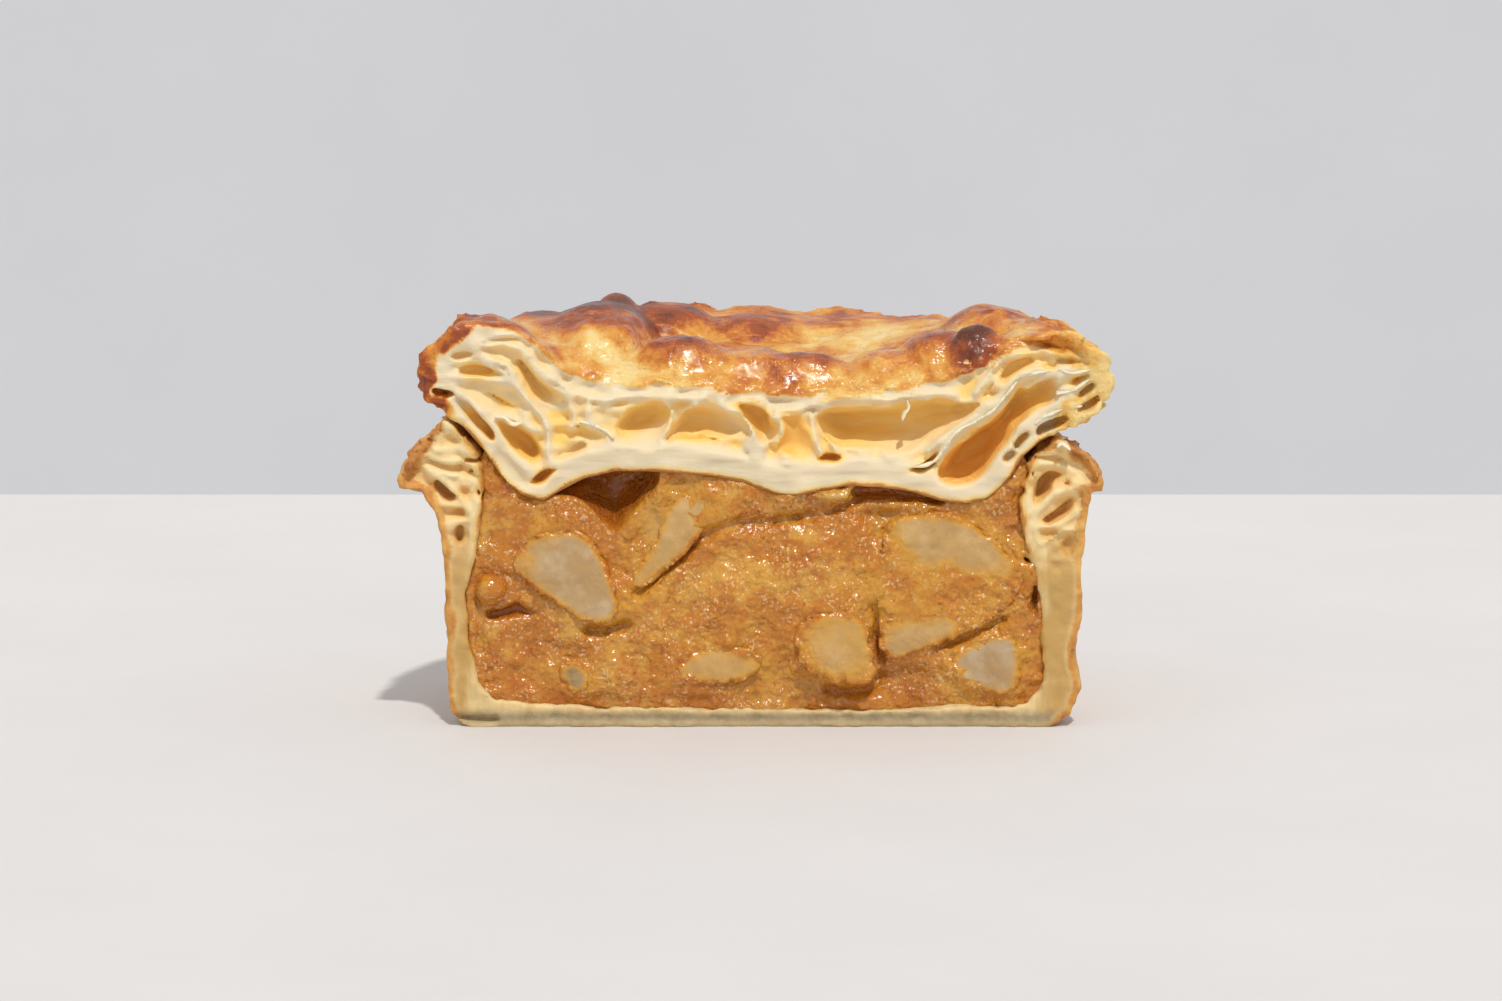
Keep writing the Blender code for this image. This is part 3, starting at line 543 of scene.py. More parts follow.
        ([(46.0, 60.6), (48.6, 59.4), (50.6, 58.0)], 0.5, 1.4),
        ([(46.8, 57.2), (48.8, 57.4), (51, 57.0)], 0.45, 1.4),
    ],
    "leafEdges": [  # where the edge of a leaf stands out of the cut face: points, half width
        ([(24.2, 40.6), (27.4, 41.6), (29.2, 43.6), (31.0, 46.2), (34.0, 48.4), (36.4, 50.0), (38.2, 52.2),
          (39.6, 54.2), (41.6, 55.4), (45.6, 56.4), (48.6, 56.4)], 0.9),
        ([(26.6, 43.2), (30.0, 46.4), (33.4, 49.2), (36.0, 50.6)], 0.6),
        ([(33.8, 52.2), (35.6, 54.6), (37.4, 57.0), (40.4, 58.6), (44.6, 58.9), (48.6, 58.0)], 0.55),
        ([(36.6, 58.0), (39.4, 60.2), (43.0, 60.9), (47.2, 60.2), (50.0, 58.6)], 0.5),
        ([(37.0, 41.0), (38.6, 43.6), (40.6, 46.6), (43.4, 49.0), (46.6, 51.0), (48.4, 52.6)], 0.7),
        ([(38.8, 41.4), (41.0, 43.8), (43.2, 46.0), (46.8, 47.6), (49.6, 48.8)], 0.6),
        ([(47.0, 51.4), (50.0, 50.8), (53.0, 52.6)], 0.45),
        ([(47.2, 53.0), (50.0, 53.2), (53.2, 54.8)], 0.45),
        ([(46.8, 55.0), (49.8, 56.0), (53.0, 56.4)], 0.45),
        ([(3.0, 49.6), (6.6, 50.0), (10.4, 51.0), (13.6, 51.9), (20.0, 51.4), (26.0, 52.2),
          (31.0, 52.0)], 0.6),
        ([(8.4, 49.2), (8.8, 47.0), (9.4, 44.8), (10.2, 42.8)], 0.4),
        ([(9.4, 49.2), (10.2, 47.8), (11.2, 45.6), (12.6, 43.2)], 0.4),
        ([(-15.0, 51.6), (-13.4, 50.2), (-13.2, 48.4), (-14.2, 46.0), (-15.6, 44.0)], 0.55),
        ([(-2.0, 50.2), (-0.6, 48.8), (0.0, 46.8), (0.4, 45.2), (1.2, 43.8)], 0.55),
        ([(3.4, 44.4), (4.2, 46.0), (4.0, 47.6), (3.0, 49.2)], 0.4),
        ([(-28.2, 52.2), (-24.6, 51.4), (-21.8, 51.6), (-18.0, 52.0), (-13.6, 51.6), (-8.0, 51.6)], 0.6),
        ([(-28.6, 47.2), (-26.0, 47.4), (-23.6, 46.2), (-21.6, 44.0), (-18.0, 42.9)], 0.7),
        ([(-44.1, 59.9), (-40.0, 61.3), (-36.2, 61.3), (-34.2, 60.4), (-32.1, 58.4), (-30.9, 56.9),
          (-28.6, 55.6)], 0.45),
        ([(-43.8, 59.2), (-39.6, 60.1), (-36.2, 59.3), (-34.7, 57.8), (-33.3, 55.9), (-31.3, 54.3),
          (-29.2, 53.1), (-28.2, 51.1), (-28.2, 48.4), (-28.0, 46.8)], 0.5),
        ([(-40.0, 57.2), (-36.4, 58.3), (-34.9, 56.6), (-33.5, 54.9), (-31.6, 53.3), (-29.4, 52.1),
          (-28.8, 50.0)], 0.45),
        ([(-49.4, 56.2), (-46.5, 57.2), (-42.9, 57.4), (-40.5, 56.5), (-38.8, 55.4), (-37.4, 53.6)], 0.45),
        ([(-49.0, 55.2), (-45.3, 54.9), (-41.6, 54.5), (-38.1, 54.2), (-36.6, 52.8)], 0.45),
        ([(-51.0, 54.3), (-48.2, 53.9), (-45.3, 52.3), (-42.9, 49.9), (-41.0, 47.5), (-40.1, 45.2),
          (-38.2, 43.2), (-36.0, 41.0), (-34.4, 39.6)], 0.6),
        ([(-41.6, 59.0), (-39.4, 57.6), (-38.1, 56.2), (-37.0, 53.8), (-35.5, 51.4), (-33.4, 49.1),
          (-32.2, 46.9), (-32.2, 44.4), (-32.2, 42.2), (-30.6, 41.2)], 0.7),
        ([(-47.2, 58.0), (-44.4, 58.6), (-41.4, 57.8), (-39.2, 56.9)], 0.4),
        ([(-40.4, 48.7), (-38.8, 48.8), (-37.6, 48.0), (-36.4, 48.0), (-34.2, 46.6)], 0.45),
        ([(-25.8, 51.2), (-26.2, 49.6), (-26.0, 48.0)], 0.35),
        ([(-38.6, 39.6), (-40.8, 42.0), (-42.4, 45.2), (-45.0, 48.6), (-48.6, 51.2)], 0.6),
    ],
    "leafDepth": 2.1, "band": 4.6,
}


def lineDistance(u, v, points):
    best = np.full(u.shape, 1e9)
    for (u0, v0), (u1, v1) in zip(points, points[1:]):
        du, dv = u1 - u0, v1 - v0
        t = np.clip(((u - u0) * du + (v - v0) * dv) / (du * du + dv * dv), 0.0, 1.0)
        best = np.minimum(best, (u - u0 - t * du) ** 2 + (v - v0 - t * dv) ** 2)
    return np.sqrt(best)


def trenches(block, grooves):  # how far these lines are sunk in at the cut
    u, v = np.meshgrid(block.xs, block.zs, indexing="ij")
    sunk = np.zeros(u.shape)
    for points, width, depth in grooves:
        line = [tuple(p) for p in smoothLine(points, 1.0)]
        sunk = np.maximum(sunk, depth * np.exp(-(lineDistance(u, v, line) / width) ** 2))
    return sunk[:, None, :]


def digCells(block, solid, cells, bend):  # opens the cells and says how golden each point of their walls is
    hollow = np.full(solid.shape, 9.0, np.float32)
    tone = np.zeros(solid.shape, np.float32)
    for outline, depth, golden, *slope in cells:
        cell, side = block.bowl(outline, depth, *slope)
        cell = cell + bend * min(1.0, depth / 6)
        # painted shade, in part: the walls go golden deeper in a cell and are kept pale on the side that
        # slopes out towards the light
        inward, outward = ease(block.y, -0.2, 0.7 + depth * 0.2), ease(side, 0.0, 0.9)
        here = golden * inward * (1 - 0.95 * outward)
        tone = np.where((cell < 1.2) & (cell < hollow), here * ease(-cell, -1.2, -0.3), tone)
        hollow = np.minimum(hollow, cell)
    return softMax(solid, -hollow, 0.3), tone


def ridges(block, lines):  # 1 on these lines at the cut, falling to 0 beside them
    u, v = np.meshgrid(block.xs, block.zs, indexing="ij")
    best = np.zeros(u.shape)
    for line, width in lines:
        path = [tuple(p) for p in smoothLine(line, 1.2)]
        best = np.maximum(best, np.exp(-(lineDistance(u, v, path) / max(width * 0.85, 0.42)) ** 2))
    for axis in (0, 1):  # softened, so that leaves close together stay smooth
        best = (np.roll(best, 1, axis) + 4 * best + np.roll(best, -1, axis)) / 6
    return best[:, None, :]


def sunkLeaves(block, look, wave, airy, edges):  # how far the dough between leaf edges is sunk in at the cut
    sunk = look["leafDepth"] * (0.75 + wave["sunk"]) * airy * (1 - edges)
    return np.maximum(sunk, 0) + trenches(block, look["grooves"])


def lidBody(block):  # distance to the lid's side and underside, left open above
    profile, above = lidProfile, lidLook["aboveTop"]
    outlines = []
    for side in ("right", "left"):
        edge, under = profile[side + "Edge"], profile[side + "Under"]
        outlines.append([(-3.0, above), (edge[0][0], above)] + edge + under + [(-3.0, under[-1][1])])
    return block.turned(*outlines)


def lidBrown(block, wave, burnt, crumbs, atRim, shoulder):  # how browned the crust is at each point
    x, y, share = block.x, block.y, lidLook["brown"]
    swell = ease(crustTop(x, np.maximum(y, 0)) - crustGround(x, y), *share["swellBand"])
    brown = share["least"] + share["swell"] * swell + share["detail"] * crustDetail(x, y)
    brown = brown + burnt * share["burnt"]
    brown = brown + share["far"] * ease(y, *share["farBand"]) - crustPatches(block, crustLook["light"])
    brown = brown - share["nearCut"] * (1 - ease(y, *share["cutBand"])) * (1 - shoulder) * (1 - burnt)
    brown = brown * np.ones_like(block.z) + wave["browning"] + wave["fineBrowning"]
    brown = brown - wave["pucker"] * share["pucker"]
    return brown + np.maximum(atRim, shoulder) * (crumbs * 0.3 - 0.02)


def makeLid():
    look = lidLook
    block = Block(*look["block"])
    wave, x, y, z = block.waves(look), block.x, block.y, block.z
    body = lidBody(block)
    radius = np.hypot(x, y)
    atRim, far = ease(radius, *look["rimBand"]), ease(y, *look["farBand"])
    shoulder = ease(np.abs(x - look["shoulderMiddle"]), *look["shoulderBand"])

    # the crust above and the flaky rim round it
    top = crustTop(x, np.maximum(y, 0)) + crustDetail(x, y) * ease(y, 0.2, 3.0)
    foldX, foldY, spreadX, spreadY = look["foldsAt"]
    folds = wave["folds"] * np.exp(-(((x - foldX) / spreadX) ** 2) - ((y - foldY) / spreadY) ** 2)
    wrinkle = (0.5 - np.abs(wave["pucker"])) * 0.2 + wave["fineDents"]
    wrinkle = wave["dents"] + wrinkle * (1 - far * 0.85) + folds * 0.5
    upper = (z - top) * 0.8 + wrinkle
    leaves = (wave["leaves"] + wave["fineLeaves"]) * (1 - far * 0.5)
    crumbs = (np.abs(wave["crumbs"]) * 0.8 - 0.3) * (1 - far * 0.6)
    side, upper = body + (leaves + crumbs) * atRim, upper + (leaves * 0.6 + crumbs * 0.8) * atRim
    shell = softMax(side, upper, look["sideBlend"])

    # the cut face, sunk between the edges of its leaves, and the cells behind it
    lip = ease(z - crustTop(x, 0.0), *look["lipBand"])
    ragged = wave["strata"] + wave["tear"] + lip * (wave["lipTear"] + 0.1)
    airy = ease(-body, look["band"] - 1.2, look["band"] + 1.4)
    edges = ridges(block, look["leafEdges"])
    face = 0.1 - y + ragged + sunkLeaves(block, look, wave, airy, edges)
    solid = softMax(shell, face, look["faceBlend"] + lip * (1 - atRim) * look["lipBlend"])
    solid, tone = digCells(block, solid, look["cells"], wave["bend"] + wave["fineBend"])
    # painted shade, in part: the dough sunk between the leaf edges is tinted golden as well
    between = 0.62 * airy * (1 - edges) * ease(y, 0.3, 2.0) * (1 - lip)
    tone = np.maximum(tone, between * (tone < 0.05))

    # what its material goes by
    skinDeep = 0.5 + (1.3 * atRim + 1.1 * shoulder) * (0.8 + wave["skin"])
    skinDeep = skinDeep + 2.5 * ease(x, 43.5, 48.5) + 1.2 * np.exp(-(((x - 34) / 4) ** 2))
    crust = ease(shell, -skinDeep - 0.7, -skinDeep * 0.5)
    under = ease(top - z, 5.0, 8.0) * (1 - ease(radius, 44.0, 49.0))
    stain = ease(body + wave["stain"], -1.3, -0.1) * under
    brown = lidBrown(block, wave, crustPatches(block, crustLook["burnt"]), crumbs, atRim, shoulder)
    return block.skin("puff_lid", solid, {
        "crust": crust * (1 - under), "brown": np.clip(brown, 0, 1), "deep": tone * (1 - crust),
        "stain": stain, "dull": np.maximum(atRim, far * 0.6) * np.ones_like(z)})


# thin torn leaves of dough that stand in the cells and fan out at the two ends

leafLook = {
    "thick": 0.22, "apart": 0.28, "deepSteps": 9, "seed": 17, "curl": 0.5, "drift": 0.8, "thinOver": 5.0,
    "leaves": [  # points at the cut, how far in, how far out, raggedness
        ([(24.2, 40.6), (27.4, 41.6), (29.2, 43.6), (31.0, 46.2), (34.0, 48.2), (36.4, 49.6), (38.2, 51.6),
          (39.6, 53.8), (41.6, 55.2), (45.6, 56.2)], 5.0, 0.1, 0.9),
        ([(23.4, 51.4), (23.6, 50.2), (22.9, 49.3), (22.5, 48.3)], 1.4, 0.5, 0.9),
        ([(-40.4, 48.8), (-38.8, 48.7), (-37.6, 47.8), (-36.4, 48.0)], 1.6, 0.4, 1.0),
        ([(-27.4, 47.8), (-25.0, 47.6), (-23.4, 46.6), (-22.0, 45.2)], 1.6, 0.5, 1.2),
        ([(46.4, 44.3), (47.2, 44.9), (48.0, 44.5), (48.8, 43.8)], 1.2, 0.7, 0.6),
        ([(43.0, 47.8), (44.6, 49.0), (48.2, 50.0), (50.4, 50.6)], 2.0, 0.2, 0.9),
        ([(46.4, 52.4), (49.0, 53.0), (52.2, 54.6)], 2.0, 0.2, 0.9),
        ([(46.6, 56.0), (48.8, 55.6), (51.6, 56.2)], 2.0, 0.2, 0.9),
    ],
}


def smoothLine(points, apart):  # evenly spaced points on a curve through these
    line = []
    ends = [points[0]] + points + [points[-1]]
    for p0, p1, p2, p3 in zip(ends, ends[1:], ends[2:], ends[3:]):
        for t in np.linspace(0, 1, 12, endpoint=False):
            line.append([
                0.5 * (2 * b + (c - a) * t + (2 * a - 5 * b + 4 * c - d) * t * t
                       + (3 * b - 3 * c + d - a) * t ** 3)
                for a, b, c, d in zip(p0, p1, p2, p3)])
    line = np.array(line + [list(points[-1])])
    along = np.concatenate([[0], np.cumsum(np.linalg.norm(np.diff(line, axis=0), axis=1))])
    even = np.linspace(0, along[-1], max(4, int(along[-1] / apart)))
    return np.stack([np.interp(even, along, line[:, i]) for i in range(line.shape[1])], 1)


def waver(count, apart, dice):  # smooth random values along a line
    knots = dice.uniform(-1, 1, int(count / apart) + 3)
    at = np.arange(count) / apart
    base = at.astype(int)
    t = ease(at - base, 0, 1)
    return knots[base] * (1 - t) + knots[base + 1] * t


def makeLeaves():
    look, dice = leafLook, np.random.default_rng(leafLook["seed"])
    points, quads, inwards = [], [], []
    depths = np.arange(look["deepSteps"]) / (look["deepSteps"] - 1)  # 0 at the front edge, 1 at the back
    for line, inward, outward, torn in look["leaves"]:
        line = smoothLine(line, look["apart"])
        count = len(line)
        slope = np.gradient(line, axis=0)
        across = np.stack([-slope[:, 1], slope[:, 0]], 1) / np.linalg.norm(slope, axis=1)[:, None]
        front = -outward + torn * (0.4 * waver(count, 6, dice) + 0.5 * np.abs(waver(count, 2, dice)) + 0.2)
        curl = look["curl"] * waver(count, 9, dice)
        drift = look["drift"] * waver(count, 14, dice)
        ends = np.minimum(np.arange(count), np.arange(count)[::-1]) / look["thinOver"]
        thick = look["thick"] * np.clip(0.35 + ends, 0, 1) * (1.1 + 0.5 * waver(count, 3, dice))
        sides = []
        for face in (-1, 1):
            rows = []
            for t in depths:
                shift = curl * (1 - t) ** 2 * 0.7 + drift * t * 0.6
                half = thick * (0.5 if t == 0 else 1.0) * face
                place = line + across * (shift + half)[:, None]
                rows.append(np.stack([place[:, 0], front + (inward - front) * t, place[:, 1]], 1))
            sides.append(np.stack(rows, 1))
        leaf = np.stack(sides)  # face, along, depth
        number = sum(len(p) for p in points) + np.arange(leaf[..., 0].size).reshape(leaf.shape[:3])
        points.append(leaf.reshape(-1, 3))
        for f, turn in ((0, -1), (1, 1)):
            corners = [number[f, :-1, :-1], number[f, 1:, :-1], number[f, 1:, 1:], number[f, :-1, 1:]]
            quads.append(np.stack(corners[::turn], -1).reshape(-1, 4))
        for rim in (number[:, :, 0], number[:, ::-1, -1], number[:, 0, ::-1], number[:, -1, :]):
            quads.append(np.stack([rim[0, :-1], rim[0, 1:], rim[1, 1:], rim[1, :-1]], -1))
        inwards.append(np.broadcast_to(depths * (inward + outward), leaf.shape[:3]).reshape(-1))
    points = np.concatenate(points) + (*pieAxis, 0)
    return newPiece("torn_leaves", points * mm, np.concatenate(quads), {"inward": np.concatenate(inwards)})


# the case: base, wall and flared rim

caseLook = {
    # low corner, high corner, step, step at the back, how far back the first step is kept
    "block": ((-57.2, -0.9, -0.9), (56.2, 57.2, 49.6), 0.47, 1.6, 9.0),
    "rimBand": (33.5, 38.5), "airyBand": (22.0, 31.0), "faceBlend": 0.3,
    "middle": 44.9, "lean": 2.0, "leanBand": (30.0, 44.0),  # the middle of the wall, and how it leans out
    "brown": {"wall": 0.34, "rim": 0.16, "crumbs": 0.4},
    "waves": {
        "leaves": ((4.0, 4.0, 1.0), 21, 0.35), "fineLeaves": ((1.5, 2.6, 1.0), 22, 0.3),
        "crumbs": ((1.3, 1.9, 1.3), 31), "wall": ((6.0, 6.0, 9.0), 23, 0.34),
        "fineWall": ((2.2, 3.0, 3.0), 24, 0.22), "strata": ((1.3, 9.0, 1.3), 25, 0.16),
        "tear": ((3.4, 9.0, 3.4), 26, 0.2), "sunk": ((2.0, 9.0, 1.4), 32, 0.5), "bend": (2.4, 27, 0.22),
        "skin": ((2.6, 6.0, 2.6), 33), "stain": ((2.4, 9.0, 2.4), 34, 0.3), "browning": (5.0, 28, 0.12),
        "fineBrowning": (1.8, 29, 0.1), "outside": ((2.0, 9.0, 5.0), 35, 0.8)},
    "cells": [
        ([(43.0, 35.6), (43.3, 38.3), (44.2, 39.6), (45.3, 40.2), (46.9, 40.0), (48.2, 39.4), (46.9, 38.9),
          (46.2, 38.1), (46.2, 37.2), (45.1, 36.0), (44.2, 35.4), (43.3, 34.9)], 6.0, 0.6),
        ([(49.4, 36.3), (49.6, 35.4), (48.9, 33.6), (47.6, 32.7), (45.8, 31.8), (44.9, 31.8), (44.2, 32.5),
          (45.8, 33.6), (46.9, 34.5), (48.2, 35.6)], 4.5, 0.6),
        ([(46.9, 28.5), (48.0, 30.0), (49.2, 30.7), (49.8, 30.3), (49.8, 28.2), (49.2, 26.4), (48.0, 26.9)],
         2.2, 0.6),
        ([(42.8, 40.7), (43.6, 41.2), (43.4, 39.6), (42.7, 39.2)], 3.0, 0.6),
        ([(43.5, 30.5), (45.1, 31.3), (47.6, 31.3), (46.7, 30.0), (44.7, 29.1)], 1.4, 0.6),
        ([(47.6, 38.6), (48.9, 38.8), (49.2, 38.0), (48.0, 37.7)], 2.0, 0.6),
        ([(-50.3, 39.2), (-49.2, 38.9), (-48.1, 38.0), (-47.0, 36.9), (-46.1, 36.2), (-47.0, 35.5),
          (-48.1, 35.5), (-49.2, 36.2), (-50.1, 37.5)], 4.5, 0.6),
        ([(-46.1, 34.7), (-45.3, 34.6), (-44.8, 33.5), (-45.2, 32.8), (-47.2, 33.1), (-48.4, 33.0),
          (-48.0, 33.9)], 2.4, 0.6),
        ([(-46.9, 31.5), (-46.1, 32.1), (-45.3, 31.9), (-45.3, 29.9), (-45.8, 28.5), (-46.6, 28.5),
          (-47.1, 30.1)], 3.4, 0.6),
        ([(-46.1, 37.9), (-45.0, 38.2), (-44.1, 37.3), (-44.3, 36.2), (-45.4, 35.7), (-46.3, 36.8)],
         1.5, 0.6),
        ([(-44.7, 40.4), (-43.8, 40.7), (-43.8, 39.6), (-44.6, 39.4)], 2.6, 0.6),
        ([(-45.6, 42.3), (-42.7, 42.3), (-42.8, 41.4), (-45.4, 41.4)], 2.4, 0.6),
        ([(-43.3, 37.6), (-42.7, 37.1), (-42.8, 36.2), (-43.5, 36.6)], 2.0, 0.6),
    ],
    "leafEdges": [
        ([(-51.6, 44.4), (-49.0, 43.4), (-46.2, 43.8), (-43.4, 42.6)], 0.5),
        ([(-51.6, 42.6), (-48.6, 41.6), (-45.6, 41.9), (-43.0, 40.8)], 0.5),
        ([(-51.2, 40.8), (-48.0, 39.8), (-45.0, 39.2), (-42.8, 38.4)], 0.5),
        ([(-50.8, 40.0), (-48.4, 38.7), (-46.4, 36.8), (-45.2, 35.2), (-44.2, 33.0), (-44.2, 29.0)], 0.6),
        ([(-49.4, 35.0), (-46.8, 34.9), (-44.4, 34.4)], 0.45),
        ([(-48.8, 31.6), (-46.6, 32.2), (-44.4, 32.6)], 0.45),
        ([(-48.6, 30.4), (-47.2, 29.0), (-46.4, 26.8)], 0.45),
        ([(-44.4, 38.4), (-43.8, 36.6), (-43.6, 34.6)], 0.4),
        ([(42.4, 36.6), (42.9, 33.4), (43.6, 29.6), (45.2, 25.6), (45.4, 22.0)], 0.8),
        ([(43.3, 33.6), (44.8, 35.2), (46.2, 36.8), (48.2, 37.4), (50.2, 37.4)], 0.7),
        ([(43.6, 31.4), (46.2, 31.9), (49.0, 32.9), (50.4, 34.2)], 0.5),
        ([(42.6, 39.0), (43.4, 41.0), (45.6, 41.5), (48.6, 40.9), (50.8, 39.6)], 0.6),
        ([(44.4, 28.6), (46.6, 30.6), (49.4, 31.2)], 0.45),
        ([(46.4, 26.4), (48.6, 26.4), (50.0, 25.4)], 0.45),
        ([(45.2, 23.4), (47.4, 24.4), (49.6, 23.6)], 0.4),
    ],
    "leafDepth": 1.5,
    "grooves": [
        ([(-50.8, 41.9), (-48.4, 40.9), (-46.0, 40.7)], 0.45, 1.4),
        ([(43.6, 42.2), (46.0, 42.2), (49.4, 40.8), (51.4, 39.4)], 0.45, 1.4),
        ([(-46.8, 1.6), (-44.0, 1.1), (-40.6, 1.0)], 0.5, 1.6),
        ([(-38, 1.5), (-10, 1.3), (12, 1.4), (40, 1.6)], 0.5, 0.35),
    ],
}


def makeCase():
    look = caseLook
    block = Block(*look["block"])
    wave, x, y, z = block.waves(look), block.x, block.y, block.z
    body = block.turned(besideAxis(caseProfile["right"]), besideAxis(caseProfile["left"]))
    radius = np.hypot(x, y)
    rim = ease(z, *look["rimBand"])
    crumbs = np.abs(wave["crumbs"]) * 0.6 - 0.2
    leaves = wave["leaves"] + wave["fineLeaves"] + crumbs
    wall = (wave["wall"] + wave["fineWall"] + crumbs * 0.5) * (1 - rim) * ease(z, 0.4, 2.4)
    shell = np.maximum(body + leaves * rim + wall, -z)

    # the cut face and its cells
    edges = ridges(block, look["leafEdges"])
    airy = ease(z, *look["airyBand"]) * ease(-shell, 0.6, 1.8)
    face = 0.12 - y + (wave["strata"] + wave["tear"]) + sunkLeaves(block, look, wave, airy, edges)
    solid = softMax(shell, face, look["faceBlend"])
    solid, tone = digCells(block, solid, look["cells"], wave["bend"])
    # painted shade, in part: the dough sunk between the leaf edges is tinted golden as well
    tone = np.maximum(tone, 0.5 * airy * (1 - edges) * ease(y, 0.2, 1.6) * (tone < 0.05))

    # what its material goes by
    middle = look["middle"] + look["lean"] * ease(z, *look["leanBand"])
    outer = ease(radius, middle + 0.6, middle + 2.4) + (1 - ease(z, 0.5, 1.2)) * 0.5
    skinDeep = 1.2 + 1.2 * rim + wave["skin"] * (0.5 + 0.4 * rim)
    crust = ease(shell, -skinDeep - 0.8, -skinDeep * 0.4) * np.clip(outer, 0, 1)
    inner = 1 - ease(radius, middle - 0.6, middle + 0.8)
    stain = ease(body + wave["stain"], -1.4, -0.1) * inner * ease(z, 4.0, 8.0)
    share = look["brown"]
    brown = share["wall"] + share["rim"] * rim + wave["browning"] + wave["fineBrowning"]
    brown = brown + crumbs * share["crumbs"]
    outside = ease(radius - middle + wave["outside"], -1.8, 2.8)
    return block.skin("pastry_case_shell", solid, {
        "crust": crust, "brown": np.clip(brown, 0, 1), "deep": tone * (1 - crust), "stain": stain,
        "height": np.clip(z / 45, 0, 1) * np.ones_like(radius), "outside": outside * np.ones_like(solid)})


# the sauce that fills the case, torn rather than cut at its face

sauceLook = {
    "block": ((-46.4, -1.6, 2.0), (46.4, 46.6, 44.0), 0.42, 1.8, 9.0),
    "overlap": 0.35, "lowest": 2.1, "sunk": 1.0, "furthestOut": 0.9, "faceBlend": 0.6, "hollowBlend": 0.9,
    "climb": 0.5, "climbWidth": 1.5, "oilWidth": 2.6, "golden": 0.6,
    "sunkShade": 0.42, "sunkBand": (0.9, 2.6), "hollowBand": (0.4, 3.0),
    "waves": {
        "tear": ((6.0, 30.0, 6.0), 51, 0.5), "fineTear": ((2.8, 30.0, 2.8), 52, 0.2),
        "lumps": ((2.2, 30.0, 2.2), 56, 0.28), "grains": ((1.0, 6.0, 1.0), 53, 0.3),
        "fineGrains": ((0.85, 3.0, 0.85), 54, 0.14), "climb": ((5.0, 30.0, 5.0), 57),
        "hollow": (2.4, 55, 0.35)},
    "hollows": [  # outline at the cut, depth
        ([(-33.4, 36.0), (-31.4, 38.8), (-27.6, 41.4), (-20.0, 42.6), (-15.6, 42.0), (-14.6, 38.6),
          (-16.8, 35.6), (-19.8, 32.8), (-21.8, 30.0), (-23.6, 31.8), (-25.8, 34.6), (-28.6, 35.9)],
         7.5),
        ([(-42.6, 18.8), (-39.4, 18.9), (-37.4, 20.6), (-34.6, 18.6), (-32.4, 18.2), (-34.6, 17.1),
          (-39.6, 16.2), (-42.5, 16.4)], 2.8),
        ([(14.0, 36.8), (15.6, 38.4), (22.0, 38.4), (30.6, 35.6), (28.6, 34.6), (22.0, 35.0), (16.0, 35.2)],
         3.4),
        ([(8.4, 33.0), (12.0, 34.8), (17.0, 36.6), (17.4, 35.4), (12.6, 33.2), (9.0, 32.2)], 2.0),
        ([(43.3, 23.2), (44.2, 21.0), (43.7, 18.0), (43.0, 17.0), (42.9, 20.0)], 2.6),
        ([(41.2, 26.8), (42.0, 26.9), (43.0, 25.6), (42.0, 25.9)], 3.0),
    ],
    "creases": [  # points, half width, depth
        ([(-9.4, 29.0), (-14.4, 24.4), (-18.6, 21.0)], 0.8, 1.6),
        ([(-9.2, 29.6), (-4.0, 31.6), (2.0, 32.2), (8.4, 33.2)], 1.0, 1.4),
        ([(28.2, 12.3), (33.4, 14.4), (38.6, 16.8)], 0.6, 1.4),
        ([(18.4, 19.0), (19.0, 15.0), (19.6, 10.4)], 0.6, 1.2),
        ([(-26.0, 15.0), (-23.0, 15.2), (-20.4, 16.0)], 0.9, 1.6),
        ([(11.2, 5.8), (13.2, 5.4), (17.6, 5.6), (19.4, 7.4)], 0.9, 1.6),
        ([(-43.4, 20.0), (-43.2, 17.0), (-43.0, 12.0)], 0.6, 0.8),
        ([(14.0, 34.0), (20.0, 33.2), (24.0, 34.4)], 0.8, 0.8),
    ],
    "swells": [  # x, z, spread in x, spread in z, how far forward
        (6.0, 24.0, 11.0, 6.0, 1.5), (-4.0, 19.0, 10.0, 5.0, 0.9), (-1.0, 37.0, 7.0, 2.6, 1.1),
        (-33.0, 32.4, 6.0, 3.2, 1.2), (12.6, 19.6, 5.0, 2.6, 0.9), (33.6, 21.4, 9.0, 3.4, 0.7),
        (-10.0, 3.6, 20.0, 1.8, -0.6), (-29.0, 12.2, 8.0, 3.0, -0.5), (25.6, 7.0, 6.0, 2.6, -0.7),
        (41.0, 33.0, 2.6, 5.0, -0.6), (6.0, 6.6, 4.0, 2.0, -0.5), (24.0, 34.8, 6.0, 1.2, 0.4),
        (12.4, 36.4, 3.2, 0.9, 1.3)],
    # painted shade: the sauce darkened round its hollows and creases and towards its bottom and left
    "paintedShade": [  # x, z, spread in x, spread in z, how much darker the sauce is
        (-32.0, 12.0, 14.0, 6.0, 0.22), (-8.0, 4.0, 40.0, 3.6, 0.34), (-36.0, 34.0, 8.0, 5.0, 0.20),
        (10.0, 34.5, 9.0, 2.0, 0.30), (24.0, 35.6, 9.0, 1.8, 0.45), (-22.0, 34.0, 6.0, 5.0, 0.30),
        (-40.6, 18.0, 3.6, 2.2, 0.45), (43.2, 20.0, 1.4, 6.0, 0.35), (-24.0, 14.6, 6.0, 1.6, 0.30),
        (10.0, 5.0, 9.0, 1.6, 0.30), (-14.0, 24.0, 5.0, 1.6, 0.18), (33.0, 8.0, 3.0, 3.0, 0.16)],
    "smears": [  # x, z, spread in x, spread in z, how much mashed potato shows through
        (-28.0, 15.6, 3.6, 2.2, 0.34), (-15.8, 31.8, 1.8, 4.4, 0.6), (-8.0, 14.4, 6.0, 1.6, 0.26),
        (6.0, 24.0, 9.0, 4.0, 0.16), (12.4, 36.5, 3.4, 0.9, 0.75), (33.0, 4.6, 4.0, 1.2, 0.26),
        (-16.0, 20.0, 3.0, 1.4, 0.18)],
}

